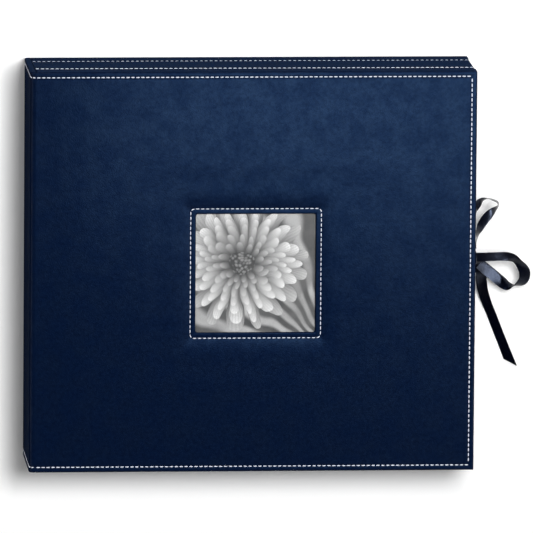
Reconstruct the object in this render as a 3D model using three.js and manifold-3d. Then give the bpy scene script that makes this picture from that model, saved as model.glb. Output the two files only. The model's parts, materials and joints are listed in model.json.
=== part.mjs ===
// A box-style three-ring scrapbook album with ribbon ties, lying closed on its back cover.
// Millimetres, +Z up. The spine is at -X, the fore-edge at +X, the head at +Y.
// The origin is the middle of the closed album's footprint, on the surface that it lies on.
import * as THREE from 'three';
import { mergeVertices } from 'three/addons/utils/BufferGeometryUtils.js';
import Module from 'manifold-3d';

const wasm = await Module();
wasm.setup();

// Closed album, over everything but the ribbons.
const albumWidth = 379;
const albumHeight = 343;
const albumDepth = 92;

// Covers and spine.
const frontThickness = 15;
const backThickness = 12;
const spineThickness = 4.6;
const foldRadius = 5;
const skin = 1.2;
const board = 2.6;
const lining = 0.6;
const edgeRound = 3;

// Gaps between pieces, and how far a cutting solid runs past what it cuts.
const gap = 0.3;
const overrun = 5;

// Topstitching: a thread in a groove, in from the edge.
const seamInset = 4.5;
const seamDepth = 0.7;
const seamFloor = 1.6;
const seamMouth = 3;
const threadWidth = 1;
const threadHeight = 0.4;

// Picture window in the front cover.
const windowOpening = 102;
const windowOffsetX = 2.5;
const windowOffsetY = -1.5;
const windowSlope = 16;
const windowCorner = 2;
const lipDrop = 3.8;
const lipDepth = 2.6;
const seamDrop = 3.1;
const filmThickness = 0.4;
const cardThickness = 0.3;
const pocketMargin = 7;

// Walls of the tray.
const wallOverhang = 0.8;
const wallSkin = 1;
const wallTopGap = 0.5;
const wallCorner = 4;
const wallSeamInset = 9.6;
const endGap = 0.4;

// Ring mechanism.
const ringHalfWidth = 15.5;
const ringHeadroom = 12.7;
const ringEndInset = 37;
const ringWire = 4;
const ringBend = 4;
const ringShoulder = 16;
const ringSplit = 5;
const ringSpineGap = 8.4;
const housingWidth = 22;
const housingHeight = 7;
const housingEndInset = 26.5;
const housingSheet = 1;
const housingFlank = 4.2;
const housingTop = 14;
const wireHeight = 3;
const wireInset = 4.2;
const notchWidth = 5.2;
const bladeThickness = 1;
const bladeHeight = 2.6;
const bladeGap = 0.6;
const bladeEndGap = 9;
const rivetRadius = 3.5;
const rivetHeight = 1.2;
const rivetInset = 30;

// Levers at both ends of the ring mechanism.
const leverWidth = 11;
const leverSheet = 1.5;
const leverPivotInset = 4;
const leverToe = 3;
const leverNeck = 5;
const leverReach = 13;
const leverRise = 16;
const leverPin = 1.2;

// Leaves: a clear protector with a paper sheet in it.
const leafCount = 4;
const sheetEndInset = 19;
const sheetForeInset = 16.7;
const sheetThickness = 0.3;
const protectorThickness = 1.4;
const protectorFilm = 0.25;
const protectorMargin = 2;
const bindingStrip = 22;
const holeInset = 9;
const slotLeft = 3.5;
const slotRight = 6.5;
const slotWidth = 7;
const leafGap = 0.5;

// Ribbons.
const ribbonWidth = 9.5;
const ribbonThickness = 0.4;

// Places that follow from the sizes above.
const halfWidth = albumWidth / 2;
const halfHeight = albumHeight / 2;
const spineFace = -halfWidth;
const hingeX = spineFace + foldRadius;
const coverLeft = hingeX + gap;
const frontBottom = albumDepth - frontThickness;
const wallBottom = backThickness + gap;
const wallTop = frontBottom - wallTopGap;
const wallThickness = wallSkin + board + lining + 2 * gap;
const wallX = halfWidth - wallOverhang;
const wallY = halfHeight - wallOverhang;
const windowHalf = windowOpening / 2;
const housingX = hingeX - endGap + ringSpineGap + ringHalfWidth;
const housingBottom = backThickness + gap;
const housingLength = albumHeight - 2 * housingEndInset;
const ringSpacing = housingLength / 2 - ringEndInset;
const ringTop = frontBottom - ringHeadroom;
const legX = housingX + ringHalfWidth;
const sheetLeft = legX - holeInset + bindingStrip + gap;
const sheetWidth = halfWidth - sheetForeInset - sheetLeft;
const sheetHeight = albumHeight - 2 * sheetEndInset;
const protectorWidth = bindingStrip + sheetWidth + 2 * gap + protectorMargin;
const firstLeaf = housingBottom + housingHeight + leafGap;
const leafTilt = Math.asin((firstLeaf - backThickness - gap) / (protectorWidth - holeInset));
const sides = 8;
const cornerSteps = 3;

const alongX = new THREE.Vector3(1, 0, 0);
const alongY = new THREE.Vector3(0, 1, 0);
const alongZ = new THREE.Vector3(0, 0, 1);
const point = (x, y, z) => new THREE.Vector3(x, y, z);
const flat = (a, b) => new THREE.Vector2(a, b);
const between = (a, b) => [Math.min(a, b), Math.max(a, b)];

// Solids: a closed geometry becomes one that can be joined and cut, and back.
function solid(geometry) {
  geometry.deleteAttribute('normal');
  geometry.deleteAttribute('uv');
  const merged = mergeVertices(geometry);
  return new wasm.Manifold(new wasm.Mesh({
    numProp: 3,
    vertProperties: new Float32Array(merged.attributes.position.array),
    triVerts: new Uint32Array(merged.index.array),
  }));
}

function geometryOf(shape) {
  const mesh = shape.getMesh();
  const geometry = new THREE.BufferGeometry();
  geometry.setAttribute('position', new THREE.BufferAttribute(new Float32Array(mesh.vertProperties), 3));
  geometry.setIndex(new THREE.BufferAttribute(new Uint32Array(mesh.triVerts), 1));
  return geometry;
}

// A box between two values on each axis.
function box(x0, x1, y0, y1, z0, z1) {
  const geometry = new THREE.BoxGeometry(x1 - x0, y1 - y0, z1 - z0);
  geometry.translate((x0 + x1) / 2, (y0 + y1) / 2, (z0 + z1) / 2);
  return geometry;
}

// A prism of an outline: its points are (x, y) along Z, (y, z) along X or (x, z) along Y.
function prism(outline, axis, from, to) {
  const shape = outline instanceof THREE.Shape ? outline : new THREE.Shape(outline);
  const geometry = new THREE.ExtrudeGeometry(shape, {
    depth: to - from,
    bevelEnabled: false,
    curveSegments: cornerSteps,
  });
  if (axis === alongX) {
    geometry.applyMatrix4(new THREE.Matrix4().makeBasis(alongY, alongZ, alongX));
    geometry.translate(from, 0, 0);
  } else if (axis === alongY) {
    const down = alongY.clone().negate();
    geometry.applyMatrix4(new THREE.Matrix4().makeBasis(alongX, alongZ, down));
    geometry.translate(0, to, 0);
  } else {
    geometry.translate(0, 0, from);
  }
  return geometry;
}

// A closed skin over rings with equally many points; an open row of rings gets flat ends.
function loft(rings, closed = false) {
  const count = rings[0].length;
  const positions = rings.flat().flatMap((p) => [p.x, p.y, p.z]);
  const faces = [];
  const rows = closed ? rings.length : rings.length - 1;
  for (let k = 0; k < rows; k += 1) {
    const here = k * count;
    const next = ((k + 1) % rings.length) * count;
    for (let i = 0; i < count; i += 1) {
      const j = (i + 1) % count;
      faces.push([here + i, here + j, next + j], [here + i, next + j, next + i]);
    }
  }
  if (!closed) {
    const last = (rings.length - 1) * count;
    for (let i = 1; i < count - 1; i += 1) {
      faces.push([0, i + 1, i], [last, last + i, last + i + 1]);
    }
  }
  const corner = (i) => point(...positions.slice(3 * i, 3 * i + 3));
  const volume = faces.reduce((sum, [a, b, c]) => sum + corner(a).dot(corner(b).cross(corner(c))), 0);
  const outward = volume > 0 ? faces : faces.map(([a, b, c]) => [a, c, b]);
  const geometry = new THREE.BufferGeometry();
  geometry.setAttribute('position', new THREE.Float32BufferAttribute(positions, 3));
  geometry.setIndex(outward.flat());
  return geometry;
}

// A square with rounded corners, at one height.
function roundedSquare(half, corner, z) {
  const ring = [];
  for (let quarter = 0; quarter < 4; quarter += 1) {
    for (let step = 0; step <= cornerSteps; step += 1) {
      const angle = (quarter + step / cornerSteps) * Math.PI / 2;
      const middle = (quarter + 0.5) * Math.PI / 2;
      const x = Math.sign(Math.cos(middle)) * (half - corner) + corner * Math.cos(angle);
      const y = Math.sign(Math.sin(middle)) * (half - corner) + corner * Math.sin(angle);
      ring.push(point(windowOffsetX + x, windowOffsetY + y, z));
    }
  }
  return ring;
}

// The directions in and out of each point of a path.
function legs(points, closed, k) {
  const last = points.length - 1;
  const before = k > 0 ? points[k - 1] : closed ? points[last] : null;
  const after = k < last ? points[k + 1] : closed ? points[0] : null;
  const into = before ? points[k].clone().sub(before).normalize() : null;
  const out = after ? after.clone().sub(points[k]).normalize() : null;
  return [into ?? out, out ?? into];
}

// The direction across a path in the surface with the given normal, longer at a corner.
function mitre(points, closed, k, normal) {
  const [into, out] = legs(points, closed, k);
  const a = normal.clone().cross(into);
  const b = normal.clone().cross(out);
  const across = a.clone().add(b).normalize();
  return across.divideScalar(across.dot(a));
}

// A stitching thread whose path is on its base.
function thread(points, normals, closed = false) {
  const rings = points.map((p, k) => {
    const normal = Array.isArray(normals) ? normals[k] : normals;
    const side = mitre(points, closed, k, normal).multiplyScalar(threadWidth / 2);
    const up = normal.clone().multiplyScalar(threadHeight);
    const low = [p.clone().sub(side), p.clone().add(side)];
    return [...low, low[1].clone().add(up), low[0].clone().add(up)];
  });
  return loft(rings, closed);
}

// A round wire along a path that stays in a plane across Y.
function wire(points, radius) {
  const rings = points.map((p, k) => {
    const side = mitre(points, false, k, alongY);
    return Array.from({ length: sides }, (_, i) => {
      const angle = (i + 0.5) * 2 * Math.PI / sides;
      return p.clone()
        .addScaledVector(side, radius * Math.cos(angle))
        .addScaledVector(alongY, radius * Math.sin(angle));
    });
  });
  return loft(rings);
}

// A flat bar along a path, with its width along one direction for each point.
function bar(points, across, width, thickness) {
  const rings = points.map((p, k) => {
    const [into, out] = legs(points, false, k);
    const along = into.clone().add(out).normalize();
    const given = Array.isArray(across) ? across[k] : across;
    const side = given.clone().addScaledVector(along, -given.dot(along)).normalize();
    const up = side.clone().cross(along).multiplyScalar(thickness / 2);
    side.multiplyScalar(width / 2);
    const low = [p.clone().sub(side).sub(up), p.clone().add(side).sub(up)];
    up.multiplyScalar(2);
    return [...low, low[1].clone().add(up), low[0].clone().add(up)];
  });
  return loft(rings);
}

// An arc's points in the plane across Y, from one number of quarter turns to another.
function arc(x, z, radius, from, to, y, steps) {
  return Array.from({ length: steps + 1 }, (_, i) => {
    const angle = (from + (to - from) * i / steps) * Math.PI / 2;
    return point(x + radius * Math.cos(angle), y, z + radius * Math.sin(angle));
  });
}

// Materials.
function finish(color, roughness, metalness = 0, opacity = 1) {
  return new THREE.MeshStandardMaterial({
    color,
    roughness,
    metalness,
    opacity,
    transparent: opacity < 1,
  });
}
const leatherette = finish(0x16233f, 0.55);
const threadFinish = finish(0xc9cfdd, 0.7);
const greyboard = finish(0x8a857c, 0.9);
const foam = finish(0xd8d8d2, 0.95);
const liningPaper = finish(0x11182a, 0.8);
const clearFilm = finish(0xeef2f5, 0.1, 0, 0.35);
const picturePrint = finish(0x9b9b9b, 0.4);
const nickel = finish(0xc4c6c8, 0.25, 1);
const paper = finish(0xf3f0e6, 0.85);
const satin = finish(0x0c1122, 0.35);

const album = new THREE.Group();

function add(name, geometry, material, parent = album) {
  const mesh = new THREE.Mesh(geometry, material);
  mesh.name = name;
  parent.add(mesh);
  return mesh;
}

// The head and tail edges of a cover: rounded edges and a stitching groove by each.
function edgePoints(half, top) {
  const groove = half - seamInset;
  const slant = edgeRound * (1 - Math.SQRT1_2);
  return [
    flat(half, top - edgeRound),
    flat(half - slant, top - slant),
    flat(half - edgeRound, top),
    flat(groove + seamMouth / 2, top),
    flat(groove + seamFloor / 2, top - seamDepth),
    flat(groove - seamFloor / 2, top - seamDepth),
    flat(groove - seamMouth / 2, top),
  ];
}

// A cover's padded outside, standing on z = 0 with its stitched face up.
function coverOutside(thickness) {
  const right = edgePoints(halfHeight, thickness);
  const left = right.map((p) => flat(-p.x, p.y)).reverse();
  const across = [flat(halfHeight, 0), ...right, ...left, flat(-halfHeight, 0)];
  const foreEdge = edgePoints(halfWidth, thickness);
  const lengthwise = [flat(halfWidth, 0), ...foreEdge, flat(coverLeft, thickness), flat(coverLeft, 0)];
  const one = solid(prism(across, alongX, coverLeft, halfWidth));
  const other = solid(prism(lengthwise, alongY, -halfHeight, halfHeight));
  return one.intersect(other);
}

// A slab inside a cover's skin, between two heights.
function slab(inset, z0, z1) {
  const y = halfHeight - inset;
  return box(coverLeft + inset, halfWidth - inset, -y, y, z0, z1);
}

// The window's hollow, grown by a wall: slopes, stitched valley, lip and straight sides.
function windowHollow(grow, bottom) {
  const top = albumDepth;
  const steps = [
    [0, bottom],
    [0, top - lipDrop],
    [threadWidth, top - lipDrop + threadHeight],
    [seamInset - seamFloor / 2, top - seamDrop],
    [seamInset + seamFloor / 2, top - seamDrop],
    [(seamInset + windowSlope) / 2, top - seamDepth],
    [windowSlope, top],
    [windowSlope, top + overrun],
  ];
  const rings = steps.map(([out, z], k) => {
    const shift = k === 0 || k === steps.length - 1 ? 0 : grow;
    return roundedSquare(windowHalf + out + grow, windowCorner + grow, z - shift);
  });
  return solid(loft(rings));
}

// A plate behind the window, centred on it.
function windowPlate(half, z0, z1) {
  const geometry = box(-half, half, -half, half, z0, z1);
  geometry.translate(windowOffsetX, windowOffsetY, 0);
  return geometry;
}

// Front cover.
const frontBoardBottom = frontBottom + lining + gap;
const frontPadBottom = frontBoardBottom + board + gap;
const lipBottom = albumDepth - lipDrop - lipDepth;
const filmTop = lipBottom - gap;
const cardTop = filmTop - filmThickness - gap;
const backingTop = cardTop - cardThickness - gap;
const pocketHalf = windowHalf + pocketMargin;

function buildFrontCover() {
  const outside = coverOutside(frontThickness).translate([0, 0, frontBottom]);
  const inside = solid(slab(skin, frontBottom - overrun, albumDepth - skin))
    .subtract(windowHollow(skin, frontBottom - 2 * overrun));
  const below = solid(windowPlate(windowHalf + 2 * skin, frontBottom - overrun, lipBottom));
  const cover = outside
    .subtract(inside)
    .subtract(windowHollow(0, frontBottom - 2 * overrun))
    .subtract(below);
  add('front_skin', geometryOf(cover), leatherette);

  const pad = solid(slab(skin + gap, frontPadBottom, albumDepth - skin - gap))
    .subtract(windowHollow(skin + gap, frontBottom - 2 * overrun))
    .subtract(solid(windowPlate(pocketHalf + gap, frontBottom, lipBottom)));
  add('front_foam', geometryOf(pad), foam);

  add('front_board', slab(skin + gap, frontBoardBottom, frontBoardBottom + board), greyboard);
  add('front_lining', slab(skin + gap, frontBottom, frontBottom + lining), liningPaper);
  add('window_film', windowPlate(pocketHalf, filmTop - filmThickness, filmTop), clearFilm);
  add('photo_card', windowPlate(pocketHalf - gap, cardTop - cardThickness, cardTop), picturePrint);
  add('pocket_backing', windowPlate(pocketHalf, frontPadBottom, backingTop), greyboard);
}

// Back cover: the same padded form, face down.
function buildBackCover() {
  const outside = coverOutside(backThickness).mirror([0, 0, 1]).translate([0, 0, backThickness]);
  const inside = solid(slab(skin, skin, backThickness + overrun));
  add('back_skin', geometryOf(outside.subtract(inside)), leatherette);
  const liningBottom = backThickness - lining;
  const boardBottom = liningBottom - gap - board;
  add('back_foam', slab(skin + gap, skin + gap, boardBottom - gap), foam);
  add('back_board', slab(skin + gap, boardBottom, boardBottom + board), greyboard);
  add('back_lining', slab(skin + gap, liningBottom, backThickness), liningPaper);
}

// Spine: a C-shaped skin over a board, with a stitching groove near both ends.
function buildSpine() {
  const inner = hingeX - endGap;
  const turned = (p) => flat(spineFace + frontThickness - p.y, p.x);
  const groove = edgePoints(halfHeight, frontThickness).map(turned);
  const mirrored = groove.map((p) => flat(p.x, -p.y)).reverse();
  const cavity = spineFace + skin;
  const reach = halfHeight - skin;
  const outline = [
    flat(inner, halfHeight), ...groove, ...mirrored, flat(inner, -halfHeight),
    flat(inner, -reach), flat(cavity, -reach), flat(cavity, reach), flat(inner, reach),
  ];
  const bottom = foldRadius + gap;
  const top = albumDepth - foldRadius - gap;
  add('spine_skin', prism(outline, alongZ, bottom, top), leatherette);
  const boardLeft = cavity + gap;
  const boardRight = spineFace + spineThickness - lining - gap;
  add('spine_board', box(boardLeft, boardRight, gap - reach, reach - gap, bottom, top), greyboard);
  add('spine_lining', box(boardRight + gap, inner, gap - reach, reach - gap, bottom, top), liningPaper);
}

// The leatherette folds between the spine and the covers, quarter rounds about the hinges.
function buildFold(name, z, from) {
  const outer = arc(hingeX, z, foldRadius, from, from + 1, 0, 2 * cornerSteps);
  const inner = arc(hingeX, z, foldRadius - skin, from, from + 1, 0, 2 * cornerSteps);
  const outline = [...outer, ...inner.reverse()].map((p) => flat(p.x, p.z));
  add(name, prism(outline, alongY, -halfHeight, halfHeight), leatherette);
}

// A band round the head, fore-edge and tail, between two distances in from the walls' outside.
function wallBand(outer, inner, z0, z1) {
  const shape = new THREE.Shape();
  const [xo, yo, ro] = [wallX - outer, wallY - outer, Math.max(wallCorner - outer, gap)];
  const [xi, yi, ri] = [wallX - inner, wallY - inner, Math.max(wallCorner - inner, gap)];
  shape.moveTo(coverLeft, -yo);
  shape.lineTo(xo - ro, -yo);
  shape.absarc(xo - ro, ro - yo, ro, -Math.PI / 2, 0, false);
  shape.lineTo(xo, yo - ro);
  shape.absarc(xo - ro, yo - ro, ro, 0, Math.PI / 2, false);
  shape.lineTo(coverLeft, yo);
  shape.lineTo(coverLeft, yi);
  shape.lineTo(xi - ri, yi);
  shape.absarc(xi - ri, yi - ri, ri, Math.PI / 2, 0, true);
  shape.lineTo(xi, ri - yi);
  shape.absarc(xi - ri, ri - yi, ri, 0, -Math.PI / 2, true);
  shape.lineTo(coverLeft, -yi);
  return prism(shape, alongZ, z0, z1);
}

function buildWalls() {
  const capBottom = wallTop - wallSkin;
  const outerBand = solid(wallBand(0, wallSkin, wallBottom, wallTop));
  const cap = solid(wallBand(0, wallThickness, capBottom, wallTop));
  add('wall_skin', geometryOf(outerBand.add(cap)), leatherette);
  const top = capBottom - gap;
  add('wall_lining', wallBand(wallThickness - lining, wallThickness, wallBottom, top), liningPaper);

  const outer = wallSkin + gap;
  const inner = outer + board;
  const foreLeft = wallX - inner;
  const endY = wallY - outer;
  const foreY = wallY - inner - gap;
  add('fore_edge_wall_board', box(foreLeft, wallX - outer, -foreY, foreY, wallBottom, top), greyboard);
  const corner = wallX - wallCorner;
  add('head_wall_board', box(coverLeft, corner, wallY - inner, endY, wallBottom, top), greyboard);
  add('tail_wall_board', box(coverLeft, corner, -endY, inner - wallY, wallBottom, top), greyboard);
}

// Rows of stitching.
function buildStitching() {
  const y = halfHeight - seamInset;
  const x = halfWidth - seamInset;
  const seat = seamDepth - gap;
  const uPath = (z) => [
    point(coverLeft, y, z), point(x, y, z), point(x, -y, z), point(coverLeft, -y, z),
  ];
  add('front_stitching', thread(uPath(albumDepth - seat), alongZ), threadFinish);
  add('back_stitching', thread(uPath(seat), alongZ.clone().negate()), threadFinish);

  const seam = windowHalf + seamInset;
  const windowRow = roundedSquare(seam, windowCorner, albumDepth - seamDrop + gap);
  add('window_stitching', thread(windowRow, alongZ, true), threadFinish);

  for (const [name, side] of [['head', 1], ['tail', -1]]) {
    const ends = [foldRadius + gap, albumDepth - foldRadius - gap];
    const row = ends.map((z) => point(spineFace + seat, side * y, z));
    add(`spine_stitching_${name}`, thread(row, alongX.clone().negate()), threadFinish);
  }

  const [wx, wy] = [wallX + gap, wallY + gap];
  const head = alongY;
  const tail = alongY.clone().negate();
  const slant = (sign) => point(1, sign, 0).normalize();
  const cut = wallCorner * (2 - Math.SQRT2) + gap;
  for (const [name, z] of [['lower', wallBottom + wallSeamInset], ['upper', wallTop - wallSeamInset]]) {
    const row = [
      point(coverLeft, wy, z), point(wx - wallCorner, wy, z), point(wx - cut / 2, wy - cut / 2, z),
      point(wx, wy - wallCorner, z), point(wx, wallCorner - wy, z), point(wx - cut / 2, cut / 2 - wy, z),
      point(wx - wallCorner, -wy, z), point(coverLeft, -wy, z),
    ];
    const normals = [head, head, slant(1), alongX, alongX, slant(-1), tail, tail];
    add(`wall_stitching_${name}`, thread(row, normals), threadFinish);
  }
}

// Ring mechanism on the back cover beside the spine.
const ringPlaces = [ringSpacing, 0, -ringSpacing];
const ringNames = ['head', 'middle', 'tail'];

function buildHousing() {
  const half = housingWidth / 2;
  const [flank, top, sheet] = [housingFlank, housingTop / 2, housingSheet];
  const high = housingHeight;
  const right = [flat(half, 0), flat(half, flank), flat(top, high)];
  const inside = [flat(half - sheet, 0), flat(half - sheet, flank - gap), flat(top - gap, high - sheet)];
  const mirror = (list) => list.map((p) => flat(-p.x, p.y)).reverse();
  const outline = [...right, ...mirror(right), ...mirror(inside).reverse(), ...inside.slice().reverse()];
  const placed = outline.map((p) => flat(housingX + p.x, housingBottom + p.y));
  let shape = solid(prism(placed, alongY, -housingLength / 2, housingLength / 2));
  for (const y of ringPlaces) {
    for (const side of [-1, 1]) {
      const ends = between(housingX + side * (top - sheet), housingX + side * (half + overrun));
      const notch = box(...ends, y - notchWidth / 2, y + notchWidth / 2,
        housingBottom - overrun, housingBottom + high - sheet);
      shape = shape.subtract(solid(notch));
    }
  }
  add('ring_housing', geometryOf(shape), nickel);

  for (const [name, side] of [['head', 1], ['tail', -1]]) {
    const [halfRadius, halfRise] = [rivetRadius * Math.SQRT1_2, rivetHeight * Math.SQRT1_2];
    const dome = [flat(0, 0), flat(rivetRadius, 0), flat(halfRadius, halfRise), flat(0, rivetHeight)];
    const head = new THREE.LatheGeometry(dome, 2 * sides);
    head.rotateX(Math.PI / 2);
    head.translate(housingX, side * (housingLength / 2 - rivetInset), housingBottom + high + gap);
    add(`housing_rivet_${name}`, geometryOf(solid(head)), nickel);
  }
}

// One half of the rings: a blade under the housing, with three wires.
function buildJaw(side, bladeName, wirePath, wireName) {
  const outer = housingWidth / 2 - housingSheet - gap;
  const ends = between(housingX + side * bladeGap / 2, housingX + side * outer);
  const length = housingLength / 2 - bladeEndGap;
  const z0 = housingBottom + bladeHeight;
  let blade = solid(box(...ends, -length, length, z0, z0 + bladeThickness));
  const wireStart = housingWidth / 2 - wireInset;
  for (const y of ringPlaces) {
    const cut = between(housingX + side * (wireStart - gap), housingX + side * (outer + overrun));
    const notch = box(...cut, y - notchWidth / 2, y + notchWidth / 2, z0 - overrun, z0 + overrun);
    blade = blade.subtract(solid(notch));
  }
  add(bladeName, geometryOf(blade), nickel);
  ringPlaces.forEach((y, k) => {
    add(`${wireName}_${ringNames[k]}`, wire(wirePath(y, wireStart), ringWire / 2), nickel);
  });
}

function buildRings() {
  const low = housingBottom + wireHeight;
  const top = ringTop;
  const split = legX - ringSplit;
  const straightLeg = (y, start) => [
    point(housingX + start, y, low),
    ...arc(legX - ringBend, low + ringBend, ringBend, -1, 0, y, cornerSteps),
    ...arc(legX - ringBend, top - ringBend, ringBend, 0, 1, y, cornerSteps),
    point(split + gap / 2, y, top),
  ];
  const archX = housingX - ringHalfWidth;
  const shoulder = top - ringShoulder;
  const archedSide = (y, start) => [
    point(housingX - start, y, low),
    ...arc(archX + ringBend, low + ringBend, ringBend, -1, -2, y, cornerSteps),
    ...arc(archX + ringShoulder, shoulder, ringShoulder, 2, 1, y, 2 * cornerSteps),
    point(split - gap / 2, y, top),
  ];
  buildJaw(1, 'right_blade', straightLeg, 'ring_leg');
  buildJaw(-1, 'left_blade', archedSide, 'ring_arch');
}

function buildLever(name, side) {
  const pivot = housingLength / 2 - leverPivotInset;
  const z = housingBottom + bladeHeight;
  const at = (out, up) => point(housingX, side * (pivot + out), z + up);
  const path = [at(-leverToe, 0), at(leverNeck, 0), at(leverReach, leverRise)];
  const pin = new THREE.CylinderGeometry(leverPin, leverPin, housingWidth - 2 * (housingSheet + gap), sides);
  pin.rotateZ(Math.PI / 2);
  pin.translate(housingX, side * pivot, z);
  const shape = solid(bar(path, alongX, leverWidth, leverSheet)).add(solid(pin));
  add(name, geometryOf(shape), nickel);
}

// Leaves on the rings, leaning on the tray's floor at their fore-edge.
function buildLeaf(number) {
  const group = new THREE.Group();
  const pitch = protectorThickness + leafGap;
  group.position.set(legX, 0, firstLeaf + (number - 1) * pitch);
  group.rotation.y = leafTilt;
  album.add(group);

  const left = -holeInset;
  const pocketLeft = left + bindingStrip;
  const right = left + protectorWidth;
  const halfSheet = sheetHeight / 2;
  const half = halfSheet + gap + protectorMargin;
  const top = protectorThickness;
  let shape = solid(box(left, right, -half, half, 0, top));
  const pocket = box(pocketLeft, right - protectorMargin, protectorMargin - half, half + overrun,
    protectorFilm, top - protectorFilm);
  shape = shape.subtract(solid(pocket));
  for (const y of ringPlaces) {
    const slot = box(-slotLeft, slotRight, y - slotWidth / 2, y + slotWidth / 2, -overrun, top + overrun);
    shape = shape.subtract(solid(slot));
  }
  add(`page_protector_${number}`, geometryOf(shape), clearFilm, group);
  const [near, low] = [pocketLeft + gap, (top - sheetThickness) / 2];
  const sheet = box(near, near + sheetWidth, -halfSheet, halfSheet, low, low + sheetThickness);
  add(`page_sheet_${number}`, sheet, paper, group);
}

// Ribbon ties. Each route is a list of points along the middle of the ribbon, and the
// direction of the ribbon's width at each.
const ribbonRoutes = {
  ribbon_front_lead: [
    [190.1, 4, 80, 0, 1, 0], [190.1, 4, 76, 0, 1, 0], [190.2, 4, 70, 0, 1, 0], [190.3, 4, 64, 0, 1, 0],
    [190.4, 4, 58, 0, 1, 0], [190.5, 4, 52, 0, 1, 0], [190.5, 4, 46.4, 0, 1, 0],
  ],
  ribbon_back_lead: [
    [190.1, 4, 8, 0, 1, 0], [190.1, 4, 14, 0, 1, 0], [190.2, 4, 20, 0, 1, 0], [190.3, 4, 26, 0, 1, 0],
    [190.4, 4, 32, 0, 1, 0], [190.5, 4, 38, 0, 1, 0], [190.5, 4, 43.6, 0, 1, 0],
  ],
  ribbon_upper_loop: [
    [191.9, 10.6, 47, 0, 0.2, 1], [191.5, 17, 47.4, 0, 0.1, 1], [191.5, 25, 47.3, 0, 0, 1],
    [191.9, 32, 46.8, -0.05, 0.1, 1], [193.3, 42.8, 45.8, -0.2, 0.3, 1],
    [194, 47.2, 44.6, -0.5, 0.5, 0.8], [196.1, 50.7, 43.4, -0.5, 0.55, 0.7],
    [199.5, 53.2, 42.2, -0.3, 0.45, 0.85], [203.4, 54, 41, -0.05, 0.2, 1], [207.1, 53.6, 40, 0, 0, 1],
    [211.4, 51.9, 39.2, -0.1, 0, 1], [213.5, 49.5, 38.6, -0.2, 0, 1],
    [212.5, 46.6, 38.4, -0.35, 0.15, 0.9], [209.5, 43.8, 38.6, -0.5, 0.4, 0.75],
    [205.9, 40.3, 39.2, -0.62, 0.6, 0.55], [202.7, 36.8, 40.2, -0.68, 0.55, 0.5],
    [199.8, 33.1, 41.6, -0.7, 0.45, 0.55], [197.6, 29.3, 43, -0.65, 0.35, 0.7],
    [196, 25.8, 44.2, -0.45, 0.25, 0.85], [195, 20.8, 45.2, -0.2, 0.15, 1],
    [194.2, 17, 45.8, -0.1, 0.1, 1], [194, 12.4, 45.9, 0, 0.1, 1],
  ],
  ribbon_lower_loop: [
    [195.5, 4.8, 45.5, 0, 1, 0.6], [196.8, 4.8, 45.4, 0, 1, 0.6], [200.3, 4.7, 45, 0, 1, 0.6],
    [205.1, 4.7, 44, 0, 1, 0.6],
    [210.4, 4.6, 42.6, 0, 1, 0.6], [215.8, 4.5, 41, 0, 1, 0.6], [221.2, 4.1, 39.4, 0.1, 0.95, 0.6],
    [226.3, 2.5, 37.4, 0.25, 0.75, 0.65], [231.1, -0.9, 34.8, 0.45, 0.4, 0.75],
    [235, -5.4, 31.8, 0.75, 0.35, 0.5], [237.7, -10.8, 28.4, 1, 0.15, 0.1],
    [238.1, -16.6, 24.2, 1, -0.1, -0.2], [236.2, -21.4, 20.2, 0.95, -0.2, -0.35],
    [232.7, -24.4, 17, 0.8, -0.1, -0.6], [228.6, -25.5, 15, 0.55, 0.2, -0.8],
    [224.4, -24.9, 14.6, 0.45, 0.55, -0.6], [220.6, -22.5, 16.4, 0.5, 0.75, -0.3],
    [216.6, -19.1, 19.8, 0.55, 0.8, -0.1], [212.2, -15.1, 24, 0.55, 0.8, 0],
    [207.7, -11, 28.6, 0.55, 0.8, 0], [203.8, -7.5, 33, 0.55, 0.8, 0], [200.2, -4, 37.4, 0.55, 0.8, -0.1],
    [197.8, -1.4, 40.4, 0.55, 0.8, -0.2],
  ],
  ribbon_tail: [
    [195.6, 0.5, 38.6, 1, 0.2, 0], [196.6, -3, 34, 1, 0.2, 0.1], [200.5, -11, 28.6, 1, 0.2, 0.2],
    [201, -16.4, 23.8, 1, 0.2, 0.3], [201.9, -21.8, 19.2, 1, 0.2, 0.4], [203, -27.2, 15, 1, 0.2, 0.5],
    [204.5, -32.1, 11.4, 1, 0.25, 0.6], [206.3, -37.3, 8.2, 1, 0.3, 0.65],
    [208.4, -42.7, 5.6, 1, 0.33, 0.7], [210.6, -47.8, 4, 1, 0.36, 0.75],
    [212.9, -53.4, 3.2, 1, 0.38, 0.75], [215.1, -59, 3.1, 1, 0.4, 0.75],
    [217.4, -64.9, 3.1, 1, 0.4, 0.75], [219.7, -70.7, 3.1, 1, 0.4, 0.75],
    [222.1, -76.5, 3.1, 1, 0.4, 0.75], [224.4, -82.4, 3, 1, 0.4, 0.7], [226.7, -88, 2.9, 1, 0.4, 0.66],
    [229, -93.7, 2.8, 1, 0.4, 0.6],
  ],
  ribbon_hidden_tail: [
    [193.3, 9, 39, 0, 0.88, 0.48], [193, 11.2, 35, 0, 0.86, 0.52], [192.5, 14.2, 30.4, 0, 0.81, 0.59],
    [191.9, 18, 25.6, 0, 0.75, 0.66], [191.4, 22.6, 20.8, 0, 0.68, 0.74], [190.9, 28, 16.4, 0, 0.58, 0.82],
    [190.5, 34.2, 12.6, 0, 0.46, 0.89], [190.3, 41.2, 9.5, 0, 0.34, 0.94], [190.2, 48.8, 7.3, 0, 0.22, 0.98],
    [190.2, 57, 5.9, 0, 0.12, 0.99], [190.2, 66, 5.3, 0, 0.04, 1], [190.2, 76, 5.2, 0, 0, 1],
    [190.2, 88, 5.2, 0, 0, 1], [190.2, 100, 5.2, 0, 0, 1],
  ],
};
const knot = { x: 193.2, y: 4, z: 45, halfX: 2, halfY: 6, halfZ: 5 };

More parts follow.
